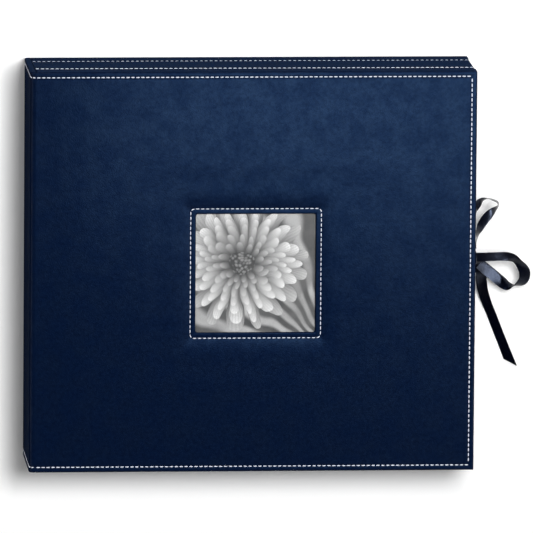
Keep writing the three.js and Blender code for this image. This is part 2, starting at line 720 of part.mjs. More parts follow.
function buildRibbons() {
  for (const [name, route] of Object.entries(ribbonRoutes)) {
    const points = route.map(([x, y, z]) => point(x, y, z));
    const across = route.map(([, , , x, y, z]) => point(x, y, z));
    add(name, bar(points, across, ribbonWidth, ribbonThickness), satin);
  }
  const lump = new THREE.SphereGeometry(1, sides, sides / 2);
  lump.scale(knot.halfX, knot.halfY, knot.halfZ);
  lump.translate(knot.x, knot.y, knot.z);
  add('ribbon_knot', geometryOf(solid(lump)), satin);
}

buildFrontCover();
buildBackCover();
buildSpine();
buildFold('front_fold', albumDepth - foldRadius, 1);
buildFold('back_fold', foldRadius, 2);
buildWalls();
buildStitching();
buildHousing();
buildRings();
buildLever('head_lever', 1);
buildLever('tail_lever', -1);
for (let number = 1; number <= leafCount; number += 1) {
  buildLeaf(number);
}
buildRibbons();

export default album;
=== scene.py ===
import json
import math

import bmesh
import bpy
import numpy as np
from mathutils import Matrix, Vector, noise

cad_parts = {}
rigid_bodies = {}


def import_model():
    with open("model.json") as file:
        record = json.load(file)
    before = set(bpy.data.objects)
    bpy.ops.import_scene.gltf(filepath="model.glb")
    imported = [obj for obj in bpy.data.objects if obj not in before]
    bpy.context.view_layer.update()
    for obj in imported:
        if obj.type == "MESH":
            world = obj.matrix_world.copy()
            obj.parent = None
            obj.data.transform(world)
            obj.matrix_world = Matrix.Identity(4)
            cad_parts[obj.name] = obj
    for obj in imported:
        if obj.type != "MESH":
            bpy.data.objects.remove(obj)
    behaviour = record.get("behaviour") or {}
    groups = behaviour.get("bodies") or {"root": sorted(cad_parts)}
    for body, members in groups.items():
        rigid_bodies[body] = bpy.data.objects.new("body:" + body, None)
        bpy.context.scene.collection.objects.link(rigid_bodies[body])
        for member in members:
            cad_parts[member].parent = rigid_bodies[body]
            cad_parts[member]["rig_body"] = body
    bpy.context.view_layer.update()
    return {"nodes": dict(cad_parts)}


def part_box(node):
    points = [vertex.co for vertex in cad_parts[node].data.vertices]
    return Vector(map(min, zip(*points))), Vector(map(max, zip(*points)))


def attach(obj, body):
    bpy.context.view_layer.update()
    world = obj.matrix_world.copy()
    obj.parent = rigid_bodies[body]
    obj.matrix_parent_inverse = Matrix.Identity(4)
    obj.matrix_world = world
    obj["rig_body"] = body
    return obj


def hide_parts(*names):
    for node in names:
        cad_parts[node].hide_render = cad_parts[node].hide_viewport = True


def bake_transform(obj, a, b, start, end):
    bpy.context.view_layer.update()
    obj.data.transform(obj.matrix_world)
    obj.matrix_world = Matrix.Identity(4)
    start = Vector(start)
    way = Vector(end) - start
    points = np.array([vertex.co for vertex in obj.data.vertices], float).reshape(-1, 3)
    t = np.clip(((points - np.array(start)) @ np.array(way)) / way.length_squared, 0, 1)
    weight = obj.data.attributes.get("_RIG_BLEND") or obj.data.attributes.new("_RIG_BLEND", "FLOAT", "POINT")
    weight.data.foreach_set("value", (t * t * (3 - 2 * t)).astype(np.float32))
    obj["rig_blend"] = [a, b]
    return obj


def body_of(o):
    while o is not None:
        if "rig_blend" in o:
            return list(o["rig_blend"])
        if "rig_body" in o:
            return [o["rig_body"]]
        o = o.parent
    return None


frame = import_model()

# A box-style three-ring scrapbook album with ribbon ties, lying closed on its back cover.
# Metres, +Z up. The spine is at -X, the fore-edge at +X, the head at +Y.

nodes = frame["nodes"]

# Sizes taken from the frame.
BACK_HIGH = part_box("back_skin")[1]
FRONT_LOW, FRONT_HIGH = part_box("front_skin")
SPINE_LOW, SPINE_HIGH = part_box("spine_skin")
WALL_LOW, WALL_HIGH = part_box("wall_skin")
FOLD_LOW, FOLD_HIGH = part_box("front_fold")
FILM_LOW, FILM_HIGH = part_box("window_film")
CARD_LOW, CARD_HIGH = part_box("photo_card")
KNOT_LOW, KNOT_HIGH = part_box("ribbon_knot")
HALF_WIDTH = FRONT_HIGH.x
HALF_HEIGHT = FRONT_HIGH.y
COVER_LEFT = FRONT_LOW.x
SPINE_FACE = SPINE_LOW.x
HINGE_X = FOLD_HIGH.x
FOLD_RADIUS = HINGE_X - SPINE_FACE
ALBUM_TOP = FRONT_HIGH.z

# Leatherette over padding.
SKIN = 0.0012
EDGE_ROUND = 0.0018
SPINE_ROUND = 0.0007
RIM_ROUND = 0.0006
SEAM_INSET = 0.0045
SEAM_DEPTH = 0.0008
SEAM_HALF_WIDTH = 0.0011
CROWN = 0.0007
CROWN_START = 0.006
CROWN_REACH = 0.045
PAD_BOTTOM = 0.08065
POCKET_GAP = 0.0004

# Picture window.
WINDOW_X = (FILM_LOW.x + FILM_HIGH.x) / 2
WINDOW_Y = (FILM_LOW.y + FILM_HIGH.y) / 2
WINDOW_HALF = 0.051
WINDOW_CORNER = 0.002
WINDOW_POWER = 5.0
WINDOW_SLOPE = 0.027
SLOPE_POWER = 3.0
LIP_TOP = 0.08925
LIP_BOTTOM = 0.0856
LIP_ROUND = 0.0011
LIP_WIDTH = 0.0056
WINDOW_SEAM_DEPTH = 0.00045
WINDOW_SEAM_HALF_WIDTH = 0.8 * SEAM_HALF_WIDTH
WINDOW_SEAM_CORNER = 0.0032

# Stitches: their spacing and the share of it that shows, the thread's radius on and between them, how far
# it sinks, how much of its radius it lifts, how flat it is, its mesh, and the twist of its plies.
STITCH_PITCH = 0.0042
STITCH_SHARE = 0.75
STITCH_RADIUS = 0.00053
LINK_RADIUS = 0.0002
STITCH_SINK = 0.00038
STITCH_LIFT = 0.3
STITCH_FLATNESS = 0.8
STITCH_RINGS = 12
STITCH_SIDES = 7
PLY_DEPTH = 0.08
PLY_TURNS = 2
SEAT_RISE = 0.0002

# Page protectors.
WELD_WIDTH = 0.0012
WELD_INSET = 0.0014

# Ribbon.
RIBBON_WIDTH = 0.0095
RIBBON_THICKNESS = 0.0004
RIBBON_STEP = 0.0008

# Edges sharper than these stay sharp under smooth shading.
SOFT_ANGLE = math.radians(50)
METAL_ANGLE = math.radians(40)
THREAD_ANGLE = math.radians(80)

# Loops round rectangles: steps on each side and corner, and how far the steps crowd to the corners.
SIDE_STEPS = 130
CORNER_STEPS = 6
CROWDING = 0.75

MERGE_DISTANCE = 1e-7
NOISE_SHIFT = (7.31, 3.17, 5.53)


# Mesh tools.
def mesh_piece(name, vertices, faces, material, sharp=SOFT_ANGLE):
    """A smooth-shaded mesh object whose edges above an angle stay sharp."""
    mesh = bpy.data.meshes.new(name)
    mesh.from_pydata([tuple(map(float, v)) for v in vertices], [], faces)
    build = bmesh.new()
    build.from_mesh(mesh)
    bmesh.ops.remove_doubles(build, verts=build.verts, dist=MERGE_DISTANCE)
    bmesh.ops.delete(build, geom=[v for v in build.verts if not v.link_faces], context="VERTS")
    bmesh.ops.recalc_face_normals(build, faces=build.faces)
    build.to_mesh(mesh)
    build.free()
    mesh.shade_smooth()
    mesh.set_sharp_from_angle(angle=sharp)
    mesh.materials.append(material)
    return link_object(name, mesh)


def link_object(name, data):
    made = bpy.data.objects.new(name, data)
    bpy.context.scene.collection.objects.link(made)
    return made


def fit_piece(piece, slot, *names):
    """Let a piece stand for nodes: hide them, and put the piece on the body of the first one. The slot
    argument is not used.
    """
    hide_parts(*names)
    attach(piece, body_of(nodes[names[0]])[0])


def loft(rings, closed=False):
    """Vertices and faces of a skin over rings that have equally many points."""
    count = len(rings[0])
    rows = len(rings)
    faces = []
    for k in range(rows if closed else rows - 1):
        here = k * count
        there = (k + 1) % rows * count
        for i in range(count):
            j = (i + 1) % count
            faces.append((here + i, here + j, there + j, there + i))
    if not closed:
        last = (rows - 1) * count
        faces.append(tuple(reversed(range(count))))
        faces.append(tuple(last + i for i in range(count)))
    return [p for ring in rings for p in ring], faces


def join(parts):
    """One list of vertices and one of faces from several."""
    vertices, faces = [], []
    for more_vertices, more_faces in parts:
        start = len(vertices)
        vertices.extend(more_vertices)
        faces.extend(tuple(start + i for i in face) for face in more_faces)
    return vertices, faces


def arc_points(cx, cy, radius, start, end, steps):
    """Points on an arc between two directions, given in quarter turns."""
    turns = np.linspace(start, end, steps + 1) * math.pi / 2
    return [(cx + radius * math.cos(t), cy + radius * math.sin(t)) for t in turns]


def rounded_loop(x0, x1, y0, y1, radius, steps=SIDE_STEPS, crowding=CROWDING):
    """Points round a rectangle with round corners, closer together near the corners."""
    corners = [
        (x1 - radius, y1 - radius),
        (x0 + radius, y1 - radius),
        (x0 + radius, y0 + radius),
        (x1 - radius, y0 + radius),
    ]
    arcs = [arc_points(*corner, radius, k, k + 1, CORNER_STEPS) for k, corner in enumerate(corners)]
    points = []
    for arc, following in zip(arcs, arcs[1:] + arcs[:1]):
        points += arc
        a, b = np.array(arc[-1]), np.array(following[0])
        for k in range(1, steps):
            t = k / steps
            t -= crowding * math.sin(2 * math.pi * t) / (2 * math.pi)
            points.append(tuple(a + (b - a) * t))
    return np.array(points)


def smoothstep(value, low, high):
    t = np.clip((value - low) / (high - low), 0, 1)
    return t * t * (3 - 2 * t)


def ripple(points, size, seed):
    """Smooth noise between -1 and 1 at points, with bumps about size across."""
    shift = Vector([seed * part for part in NOISE_SHIFT])
    return np.array([noise.noise(Vector(p) / size + shift) for p in points])


def spline(points, step):
    """A smooth line through points, with new points about a step apart."""
    points = np.asarray(points, float)
    fine = []
    for i in range(len(points) - 1):
        p0, p1 = points[max(i - 1, 0)], points[i]
        p2, p3 = points[i + 1], points[min(i + 2, len(points) - 1)]
        count = max(2, round(np.linalg.norm((p2 - p1)[:3]) / step))
        for k in range(count):
            t = k / count
            square = (2 * p0 - 5 * p1 + 4 * p2 - p3) * t ** 2
            cube = (3 * p1 - p0 - 3 * p2 + p3) * t ** 3
            fine.append(0.5 * (2 * p1 + (p2 - p0) * t + square + cube))
    fine.append(points[-1])
    return np.array(fine)


def unit(vectors):
    return vectors / np.linalg.norm(vectors, axis=-1, keepdims=True)


# Material tools. A colour mix node has its colours and its result at these sockets.
MIX_COLOURS = (6, 7)
MIX_RESULT = 2


class Shading:
    """A node material with a Principled shader, built up by short calls."""

    def __init__(self, name):
        self.material = bpy.data.materials.new(name)
        self.material.use_nodes = True
        self.tree = self.material.node_tree
        self.shader = self.tree.nodes["Principled BSDF"]
        self.place = self.tree.nodes.new("ShaderNodeTexCoord").outputs["Object"]

    def node(self, kind, inputs=(), **settings):
        made = self.tree.nodes.new("ShaderNode" + kind)
        for key, value in settings.items():
            setattr(made, key, value)
        for key, value in dict(inputs).items():
            self.put(made.inputs[key], value)
        return made

    def put(self, socket, value):
        if isinstance(value, bpy.types.NodeSocket):
            self.tree.links.new(value, socket)
        else:
            socket.default_value = value

    def set(self, **inputs):
        for key, value in inputs.items():
            self.put(self.shader.inputs[key.replace("_", " ")], value)

    def math(self, operation, *values):
        return self.node("Math", enumerate(values), operation=operation).outputs[0]

    def vector(self, operation, vector, other):
        return self.node("VectorMath", {0: vector, 1: other}, operation=operation).outputs[0]

    def scaled(self, vector, scale):
        return self.node("VectorMath", {0: vector, "Scale": scale}, operation="SCALE").outputs[0]

    def parts(self, vector):
        outputs = self.node("SeparateXYZ", {0: vector}).outputs
        return outputs["X"], outputs["Y"]

    def facing(self):
        return self.node("LayerWeight", {"Blend": 0.5}).outputs["Facing"]

    def waves(self, place, scale, distortion, direction):
        inputs = {"Vector": place, "Scale": scale, "Distortion": distortion}
        return self.node("TexWave", inputs, bands_direction=direction).outputs["Fac"]

    def remap(self, value, low, high, to_low=0.0, to_high=1.0, kind="SMOOTHSTEP"):
        inputs = {"Value": value, "From Min": low, "From Max": high, "To Min": to_low, "To Max": to_high}
        return self.node("MapRange", inputs, interpolation_type=kind).outputs[0]

    def noise(self, scale, detail=2.0, roughness=0.5, place=None):
        inputs = {"Vector": place or self.place, "Scale": scale, "Detail": detail, "Roughness": roughness}
        return self.node("TexNoise", inputs).outputs["Fac"]

    def cells(self, scale, place=None):
        inputs = {"Vector": place or self.place, "Scale": scale}
        return self.node("TexVoronoi", inputs).outputs["Distance"]

    def mix(self, factor, a, b):
        made = self.tree.nodes.new("ShaderNodeMix")
        made.data_type = "RGBA"
        self.put(made.inputs["Factor"], factor)
        for socket, value in zip(MIX_COLOURS, (a, b)):
            self.put(made.inputs[socket], value if isinstance(value, bpy.types.NodeSocket) else (*value, 1.0))
        return made.outputs[MIX_RESULT]

    def bump(self, height, distance, strength=1.0, below=None):
        inputs = {"Height": height, "Distance": distance, "Strength": strength}
        if below is not None:
            inputs["Normal"] = below
        return self.node("Bump", inputs).outputs[0]


# Tones of the materials, in linear light: two that a noise mixes, or one laid over them.
NAVY_TONES = (0.0002, 0.0025, 0.0148), (0.0005, 0.0038, 0.0202)
NAVY_BLOTCH = (0.0003, 0.0015, 0.0088)
NAVY_FLECK = (0.0010, 0.0060, 0.0260)
NAVY_SHINE = (0.24, 0.50, 1.0, 1.0)
NAVY_SHEEN = (0.20, 0.45, 0.9, 1.0)
THREAD_TONES = (0.60, 0.65, 0.80), (0.84, 0.87, 0.96)
BOARD_TONES = (0.30, 0.28, 0.24), (0.46, 0.43, 0.38)
LINING_TONES = (0.010, 0.014, 0.027), (0.020, 0.026, 0.044)
FILM_TONES = (0.55, 0.58, 0.62), (0.95, 0.96, 0.97)
SLEEVE_TONES = (0.80, 0.84, 0.90), (0.93, 0.94, 0.95)
PAPER_TONES = (0.84, 0.81, 0.74), (0.92, 0.90, 0.84)
NICKEL_TONES = (0.66, 0.66, 0.65), (0.78, 0.78, 0.77)
SATIN_TONES = (0.0005, 0.0007, 0.0028), (0.0013, 0.0016, 0.0052)
SATIN_SHINE = (0.34, 0.52, 1.0, 1.0)
FILM_OPACITY = 0.04
BINDING_OPACITY = 0.45
WELD_OPACITY = 0.75
BINDING_EDGE = 0.0002


def leather_material():
    """Navy leatherette: a fine pebbled grain with soft mottling."""
    s = Shading("navy_leatherette")
    mottle = s.noise(55, 4, 0.6)
    blotch = s.noise(260, 4, 0.7)
    flecks = s.noise(420, 3, 0.6)
    pebble = s.cells(820)
    tone = s.mix(s.remap(mottle, 0.32, 0.68), *NAVY_TONES)
    tone = s.mix(s.remap(blotch, 0.4, 0.7, 0.0, 0.4), tone, NAVY_BLOTCH)
    tone = s.mix(s.remap(flecks, 0.35, 0.75, 0.0, 0.4), tone, NAVY_FLECK)
    rough = s.remap(flecks, 0.3, 0.7, 0.40, 0.52)
    grain = s.bump(s.remap(pebble, 0.1, 0.75), 0.00012, 0.55)
    surface = s.bump(flecks, 0.0003, 0.35, grain)
    s.set(Base_Color=tone, Roughness=rough, Normal=surface, Specular_Tint=NAVY_SHINE)
    gloss = s.remap(s.facing(), 0.12, 0.42, 0.5, 0.0002)
    gloss = s.math("MULTIPLY", gloss, s.remap(mottle, 0.34, 0.66, 1.24, 0.80))
    s.set(Specular_IOR_Level=s.math("MULTIPLY", gloss, s.remap(blotch, 0.32, 0.68, 1.14, 0.80)))
    s.set(Sheen_Weight=0.035, Sheen_Roughness=0.35, Sheen_Tint=NAVY_SHEEN)
    return s.material


def fibrous_material(name, texture, spread, tones, relief, **settings):
    """A matt material whose fibres mix two tones and raise its surface."""
    s = Shading(name)
    fibre = s.noise(*texture)
    tone = s.mix(s.remap(fibre, 0.5 - spread, 0.5 + spread), *tones)
    s.set(Base_Color=tone, Normal=s.bump(fibre, *relief), **settings)
    return s.material


def lining_material():
    """Dark lining paper with a fine laid texture."""
    s = Shading("lining_paper")
    fibre = s.noise(600, 4, 0.65)
    laid = s.waves(s.place, 420.0, 2.0, "Y")
    tone = s.mix(s.remap(fibre, 0.3, 0.7), *LINING_TONES)
    surface = s.bump(fibre, 0.0001, 0.4, s.bump(laid, 0.00008, 0.35))
    s.set(Base_Color=tone, Roughness=0.8, Normal=surface)
    return s.material


def film_material():
    """The window's clear plastic sheet."""
    s = Shading("window_clear")
    waves = s.noise(18, 2, 0.5)
    haze = s.noise(240, 3, 0.6)
    s.set(Base_Color=s.mix(s.remap(haze, 0.3, 0.7), *FILM_TONES))
    s.set(Roughness=s.remap(haze, 0.3, 0.7, 0.06, 0.14), Alpha=FILM_OPACITY)
    s.set(Normal=s.bump(waves, 0.0012, 0.4))
    return s.material


def sleeve_material():
    """A clear page protector, milky at its binding strip, with welded lines round its pocket."""
    s = Shading("sleeve_clear")
    low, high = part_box("page_protector_1")
    strip_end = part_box("page_sheet_1")[0].x - WELD_WIDTH / 2
    x, y = s.parts(s.place)

    def line(place, at):
        off = s.math("ABSOLUTE", s.math("SUBTRACT", place, at))
        return s.remap(off, 0.6 * WELD_WIDTH, 0.4 * WELD_WIDTH)

    strip = s.remap(x, strip_end, strip_end - BINDING_EDGE)
    weld = s.math("MAXIMUM", line(x, strip_end), line(x, high.x - WELD_INSET))
    weld = s.math("MAXIMUM", weld, line(y, low.y + WELD_INSET))
    haze = s.noise(240, 3, 0.6)
    waves = s.noise(18, 2, 0.5)
    milky = [s.math("MULTIPLY", strip, BINDING_OPACITY), s.math("MULTIPLY", weld, WELD_OPACITY)]
    milky = s.math("MAXIMUM", *milky)
    clear = s.remap(haze, 0.3, 0.7, 0.12, 0.17)
    s.set(Base_Color=s.mix(milky, *SLEEVE_TONES))
    s.set(Roughness=s.remap(haze, 0.3, 0.7, 0.08, 0.18), Alpha=s.math("MAXIMUM", milky, clear))
    s.set(Normal=s.bump(s.math("ADD", waves, s.math("MULTIPLY", weld, 0.1)), 0.0012, 0.4))
    return s.material


def nickel_material():
    """Nickel-plated steel with faint polishing marks."""
    s = Shading("nickel_plate")
    marks = s.noise(500, 3, 0.6)
    cloud = s.noise(60, 3, 0.5)
    tone = s.mix(s.remap(cloud, 0.3, 0.7), *NICKEL_TONES)
    s.set(Base_Color=tone, Metallic=1.0, Roughness=s.remap(marks, 0.3, 0.7, 0.20, 0.27))
    s.set(Normal=s.bump(marks, 0.00001, 0.1))
    return s.material


def satin_material():
    """Near-black navy satin ribbon: its ribs run along the ribbon's own across direction."""
    s = Shading("navy_satin")
    across = s.node("Attribute", attribute_name="ribbon_place").outputs["Vector"]
    weave = s.waves(across, 260.0, 0.4, "X")
    tone = s.mix(s.remap(s.noise(160, 3, 0.5), 0.3, 0.7), *SATIN_TONES)
    s.set(Base_Color=tone, Roughness=0.22, Normal=s.bump(weave, 0.00006, 0.35))
    s.set(Specular_IOR_Level=s.remap(s.facing(), 0.1, 0.6, 0.30, 0.10), Specular_Tint=SATIN_SHINE)
    return s.material


# The card's print, in shares of its width from its middle. A ring of petals is its count, length,
# turn, and the grey at its root and at its tip.
LEAF_ROOT = (0.62, -0.66)
LEAF_COUNT = 34.0
FLOWER_MIDDLE = (-0.10, 0.08)
PETAL_RINGS = [
    (17, 0.50, 0.10, 0.030, 0.62),
    (19, 0.44, 0.62, 0.025, 0.95),
    (21, 0.38, 0.25, 0.030, 1.00),
    (19, 0.32, 0.80, 0.025, 0.90),
    (17, 0.26, 0.35, 0.020, 0.70),
    (15, 0.205, 0.60, 0.015, 0.60),
    (12, 0.155, 0.15, 0.010, 0.50),
]
DISC_REACH = 0.085
DISC_EDGE = 0.01
PRINT_BEND = 0.16


def picture_material():
    """A greyscale botanical print of our own: one open flower, off-centre, over long leaves."""
    s = Shading("botanical_print")
    middle = (CARD_HIGH + CARD_LOW) / 2
    unit_place = s.scaled(s.vector("SUBTRACT", s.place, tuple(middle)), 1 / (CARD_HIGH.x - CARD_LOW.x))
    bend = s.node("TexNoise", {"Vector": unit_place, "Scale": 3.0, "Detail": 1.0}).outputs["Color"]
    bend = s.scaled(s.vector("SUBTRACT", bend, (0.5, 0.5, 0.5)), PRINT_BEND)
    bent = s.vector("ADD", unit_place, bend)

    def polar(cx, cy):
        x, y = s.parts(s.vector("ADD", bent, (-cx, -cy, 0)))
        reach = s.math("SQRT", s.math("ADD", s.math("MULTIPLY", x, x), s.math("MULTIPLY", y, y)))
        return reach, s.math("ARCTAN2", y, x)

    def grey(value):
        return (value, value, value)

    def petals(under, reach, turn, count, length, phase, dark, light):
        """Lay one ring of petals over what is under it."""
        share = s.math("MULTIPLY_ADD", turn, count / (2 * math.pi), phase)
        off_axis = s.math("ABSOLUTE", s.math("SUBTRACT", s.math("FRACT", share), 0.5))
        notch = s.math("POWER", s.math("MULTIPLY", off_axis, 2.0), 2.4)
        edge = s.math("MULTIPLY_ADD", notch, -0.42 * length, length)
        inside = s.math("SUBTRACT", edge, reach)
        cover = s.remap(inside, 0.0, 0.006)
        along = s.remap(reach, 0.35 * length, length, 0.0, 1.0, "LINEAR")
        ridge = s.math("SUBTRACT", 1.0, s.math("MULTIPLY", notch, 0.75))
        streak = s.math("MULTIPLY", s.math("SINE", s.math("MULTIPLY", turn, count * 9.0)), 0.05)
        level = s.math("ADD", s.math("MULTIPLY", along, ridge), streak)
        tone = s.mix(s.math("POWER", s.math("MAXIMUM", level, 0.0), 1.6), grey(dark), grey(light))
        return s.mix(cover, under, tone)

    reach, turn = polar(*LEAF_ROOT)
    blades = s.math("SINE", s.math("MULTIPLY", turn, LEAF_COUNT))
    backdrop = s.mix(s.remap(blades, -0.8, 0.9), grey(0.035), grey(0.52))
    haze = s.noise(4.0, 2, 0.5, bent)
    tone = s.mix(s.remap(haze, 0.35, 0.65, 0.0, 0.6), backdrop, grey(0.12))

    reach, turn = polar(*FLOWER_MIDDLE)
    for ring in PETAL_RINGS:
        tone = petals(tone, reach, turn, *ring)
    seeds = s.cells(46.0, place=bent)
    disc = s.mix(s.remap(seeds, 0.1, 0.7), grey(0.26), grey(0.006))
    tone = s.mix(s.remap(reach, DISC_REACH, DISC_REACH - DISC_EDGE), tone, disc)
    fine = s.noise(260.0, 3, 0.6, bent)
    tone = s.mix(s.remap(fine, 0.25, 0.75, 0.0, 0.30), tone, grey(0.05))
    s.set(Base_Color=tone, Roughness=0.45)
    return s.material


leather = leather_material()
thread_finish = fibrous_material("pale_thread", (2600, 3, 0.7), 0.2, THREAD_TONES, (0.0001, 0.5),
                                 Roughness=0.7, Sheen_Weight=0.3, Sheen_Roughness=0.5)
board_finish = fibrous_material("grey_board", (900, 5, 0.7), 0.15, BOARD_TONES, (0.0002, 0.5),
                                Roughness=0.92)
lining_finish = lining_material()
window_clear = film_material()
sleeve_clear = sleeve_material()
paper_finish = fibrous_material("scrapbook_paper", (700, 5, 0.7), 0.2, PAPER_TONES, (0.00008, 0.5),
                                Roughness=0.88)
nickel = nickel_material()
satin = satin_material()
print_finish = picture_material()


# Camera: the photograph's viewing angle, from far off through a long lens.
CAMERA_DISTANCE = 10.0
CAMERA_AIM = Vector((0.0151, -0.0025, 0.046))
CAMERA_YAW = -0.080
CAMERA_PITCH = 0.1584
CAMERA_ROLL = 0.0076
CAMERA_LENS = 793.2
SENSOR_WIDTH = 36.0
CAMERA_REACH = (0.5, 60.0)


def place_camera():
    lens = bpy.data.cameras.new("photo_camera")
    lens.lens = CAMERA_LENS
    lens.sensor_width = SENSOR_WIDTH
    lens.clip_start, lens.clip_end = CAMERA_REACH
    camera = link_object("photo_camera", lens)
    turn = Matrix.Rotation(CAMERA_YAW, 3, "Y") @ Matrix.Rotation(-CAMERA_PITCH, 3, "X")
    turn = turn @ Matrix.Rotation(CAMERA_ROLL, 3, "Z")
    camera.location = CAMERA_AIM + turn @ Vector((0, 0, CAMERA_DISTANCE))
    camera.rotation_mode = "QUATERNION"
    camera.rotation_quaternion = turn.to_quaternion()
    bpy.context.scene.camera = camera


place_camera()

# Ribbons. Each row is a point on the ribbon's middle and the direction across it there.
LEAD_X = (0.1901, 0.1901, 0.1902, 0.1903, 0.1904, 0.1905, 0.1905)
LEAD_Y = 0.004
FRONT_LEAD_Z = (0.08, 0.076, 0.07, 0.064, 0.058, 0.052, 0.0464)
BACK_LEAD_Z = (0.008, 0.014, 0.02, 0.026, 0.032, 0.038, 0.0436)
RIBBON_ROUTES = {
    "ribbon_front_lead": [[x, LEAD_Y, z, 0, 1, 0] for x, z in zip(LEAD_X, FRONT_LEAD_Z)],
    "ribbon_back_lead": [[x, LEAD_Y, z, 0, 1, 0] for x, z in zip(LEAD_X, BACK_LEAD_Z)],
    "ribbon_upper_loop": [
        [0.1919, 0.0106, 0.047, 0, 0.2, 1], [0.1915, 0.017, 0.0474, 0, 0.1, 1],
        [0.1915, 0.025, 0.0473, 0, 0, 1], [0.1919, 0.032, 0.0468, -0.05, 0.1, 1],
        [0.1933, 0.0428, 0.0458, -0.2, 0.3, 1], [0.194, 0.0472, 0.0446, -0.5, 0.5, 0.8],
        [0.1961, 0.0507, 0.0434, -0.5, 0.55, 0.7], [0.1995, 0.0532, 0.0422, -0.3, 0.45, 0.85],
        [0.2034, 0.054, 0.041, -0.05, 0.2, 1], [0.2071, 0.0536, 0.04, 0, 0, 1],
        [0.2114, 0.0519, 0.0392, -0.1, 0, 1], [0.2135, 0.0495, 0.0386, -0.2, 0, 1],
        [0.2125, 0.0466, 0.0384, -0.35, 0.15, 0.9], [0.2095, 0.0438, 0.0386, -0.5, 0.4, 0.75],
        [0.2059, 0.0403, 0.0392, -0.62, 0.6, 0.55], [0.2027, 0.0368, 0.0402, -0.68, 0.55, 0.5],
        [0.1998, 0.0331, 0.0416, -0.7, 0.45, 0.55], [0.1976, 0.0293, 0.043, -0.65, 0.35, 0.7],
        [0.196, 0.0258, 0.0442, -0.45, 0.25, 0.85], [0.195, 0.0208, 0.0452, -0.2, 0.15, 1],
        [0.1942, 0.017, 0.0458, -0.1, 0.1, 1], [0.194, 0.0124, 0.0459, 0, 0.1, 1],
    ],
    "ribbon_lower_loop": [
        [0.1936, 0.0048, 0.0456, 0, 1, 0.6], [0.1955, 0.0048, 0.0455, 0, 1, 0.6],
        [0.1968, 0.0048, 0.0454, 0, 1, 0.6], [0.2003, 0.0047, 0.045, 0, 1, 0.6],
        [0.2051, 0.0047, 0.044, 0, 1, 0.6], [0.2104, 0.0046, 0.0426, 0, 1, 0.6],
        [0.2158, 0.0045, 0.041, 0, 1, 0.6], [0.2212, 0.0041, 0.0394, 0.1, 0.95, 0.6],
        [0.2263, 0.0025, 0.0374, 0.25, 0.75, 0.65], [0.2311, -0.0009, 0.0348, 0.45, 0.4, 0.75],
        [0.235, -0.0054, 0.0318, 0.75, 0.35, 0.5], [0.2377, -0.0108, 0.0284, 1, 0.15, 0.1],
        [0.2381, -0.0166, 0.0242, 1, -0.1, -0.2], [0.2362, -0.0214, 0.0202, 0.95, -0.2, -0.35],
        [0.2327, -0.0244, 0.017, 0.8, -0.1, -0.6], [0.2286, -0.0255, 0.015, 0.55, 0.2, -0.8],
        [0.2244, -0.0249, 0.0146, 0.45, 0.55, -0.6], [0.2206, -0.0225, 0.0164, 0.5, 0.75, -0.3],
        [0.2166, -0.0191, 0.0198, 0.55, 0.8, -0.1], [0.2122, -0.0151, 0.024, 0.55, 0.8, 0],
        [0.2077, -0.011, 0.0286, 0.55, 0.8, 0], [0.2038, -0.0075, 0.033, 0.55, 0.8, 0],
        [0.2002, -0.004, 0.0374, 0.55, 0.8, -0.1], [0.1978, -0.0014, 0.0404, 0.55, 0.8, -0.2],
    ],
    "ribbon_tail": [
        [0.1956, 0.0005, 0.0386, 1, 0.2, 0], [0.1966, -0.003, 0.034, 1, 0.2, 0.1],
        [0.2005, -0.011, 0.0286, 1, 0.2, 0.2], [0.201, -0.0164, 0.0238, 1, 0.2, 0.3],
        [0.2019, -0.0218, 0.0192, 1, 0.2, 0.4], [0.203, -0.0272, 0.015, 1, 0.2, 0.5],
        [0.2045, -0.0321, 0.0114, 1, 0.25, 0.6], [0.2063, -0.0373, 0.0082, 1, 0.3, 0.65],
        [0.2084, -0.0427, 0.0056, 1, 0.33, 0.7], [0.2106, -0.0478, 0.004, 1, 0.36, 0.75],
        [0.2129, -0.0534, 0.0032, 1, 0.38, 0.75], [0.2151, -0.059, 0.0031, 1, 0.4, 0.75],
        [0.2174, -0.0649, 0.0031, 1, 0.4, 0.75], [0.2197, -0.0707, 0.0031, 1, 0.4, 0.75],
        [0.2221, -0.0765, 0.0031, 1, 0.4, 0.75], [0.2244, -0.0824, 0.003, 1, 0.4, 0.7],
        [0.2267, -0.088, 0.0029, 1, 0.4, 0.66], [0.229, -0.0937, 0.0028, 1, 0.4, 0.6],
    ],
    "ribbon_hidden_tail": [
        [0.1933, 0.009, 0.039, 0, 0.88, 0.48], [0.193, 0.0112, 0.035, 0, 0.86, 0.52],
        [0.1925, 0.0142, 0.0304, 0, 0.81, 0.59], [0.1919, 0.018, 0.0256, 0, 0.75, 0.66],
        [0.1914, 0.0226, 0.0208, 0, 0.68, 0.74], [0.1909, 0.028, 0.0164, 0, 0.58, 0.82],
        [0.1905, 0.0342, 0.0126, 0, 0.46, 0.89], [0.1903, 0.0412, 0.0095, 0, 0.34, 0.94],
        [0.1902, 0.0488, 0.0073, 0, 0.22, 0.98], [0.1902, 0.057, 0.0059, 0, 0.12, 0.99],
        [0.1902, 0.066, 0.0053, 0, 0.04, 1], [0.1902, 0.076, 0.0052, 0, 0, 1],
        [0.1902, 0.088, 0.0052, 0, 0, 1], [0.1902, 0.1, 0.0052, 0, 0, 1],
    ],
}
RIBBON_CURL = 0.00025
CURL_MIDDLE = 0.35
SELVEDGE = 0.0004
SELVEDGE_THICKNESS = 0.0005
SELVEDGE_TAPER = 0.4
TAIL_SLANT = 0.0045
SLANT_REACH = 0.012
RIBBON_SAMPLES = 14

# The knot: its mesh, how square its section is and how its ends close, and its pinch and folds.
KNOT_ROWS = 36
KNOT_AROUND = 56
KNOT_POWER = 0.72
KNOT_CLOSING = 0.6
KNOT_PINCH = 0.10
FOLD_DEPTH = 0.07
FOLD_COUNT = 5
FOLD_SWAY = 1.4
FOLD_PHASE = 0.6


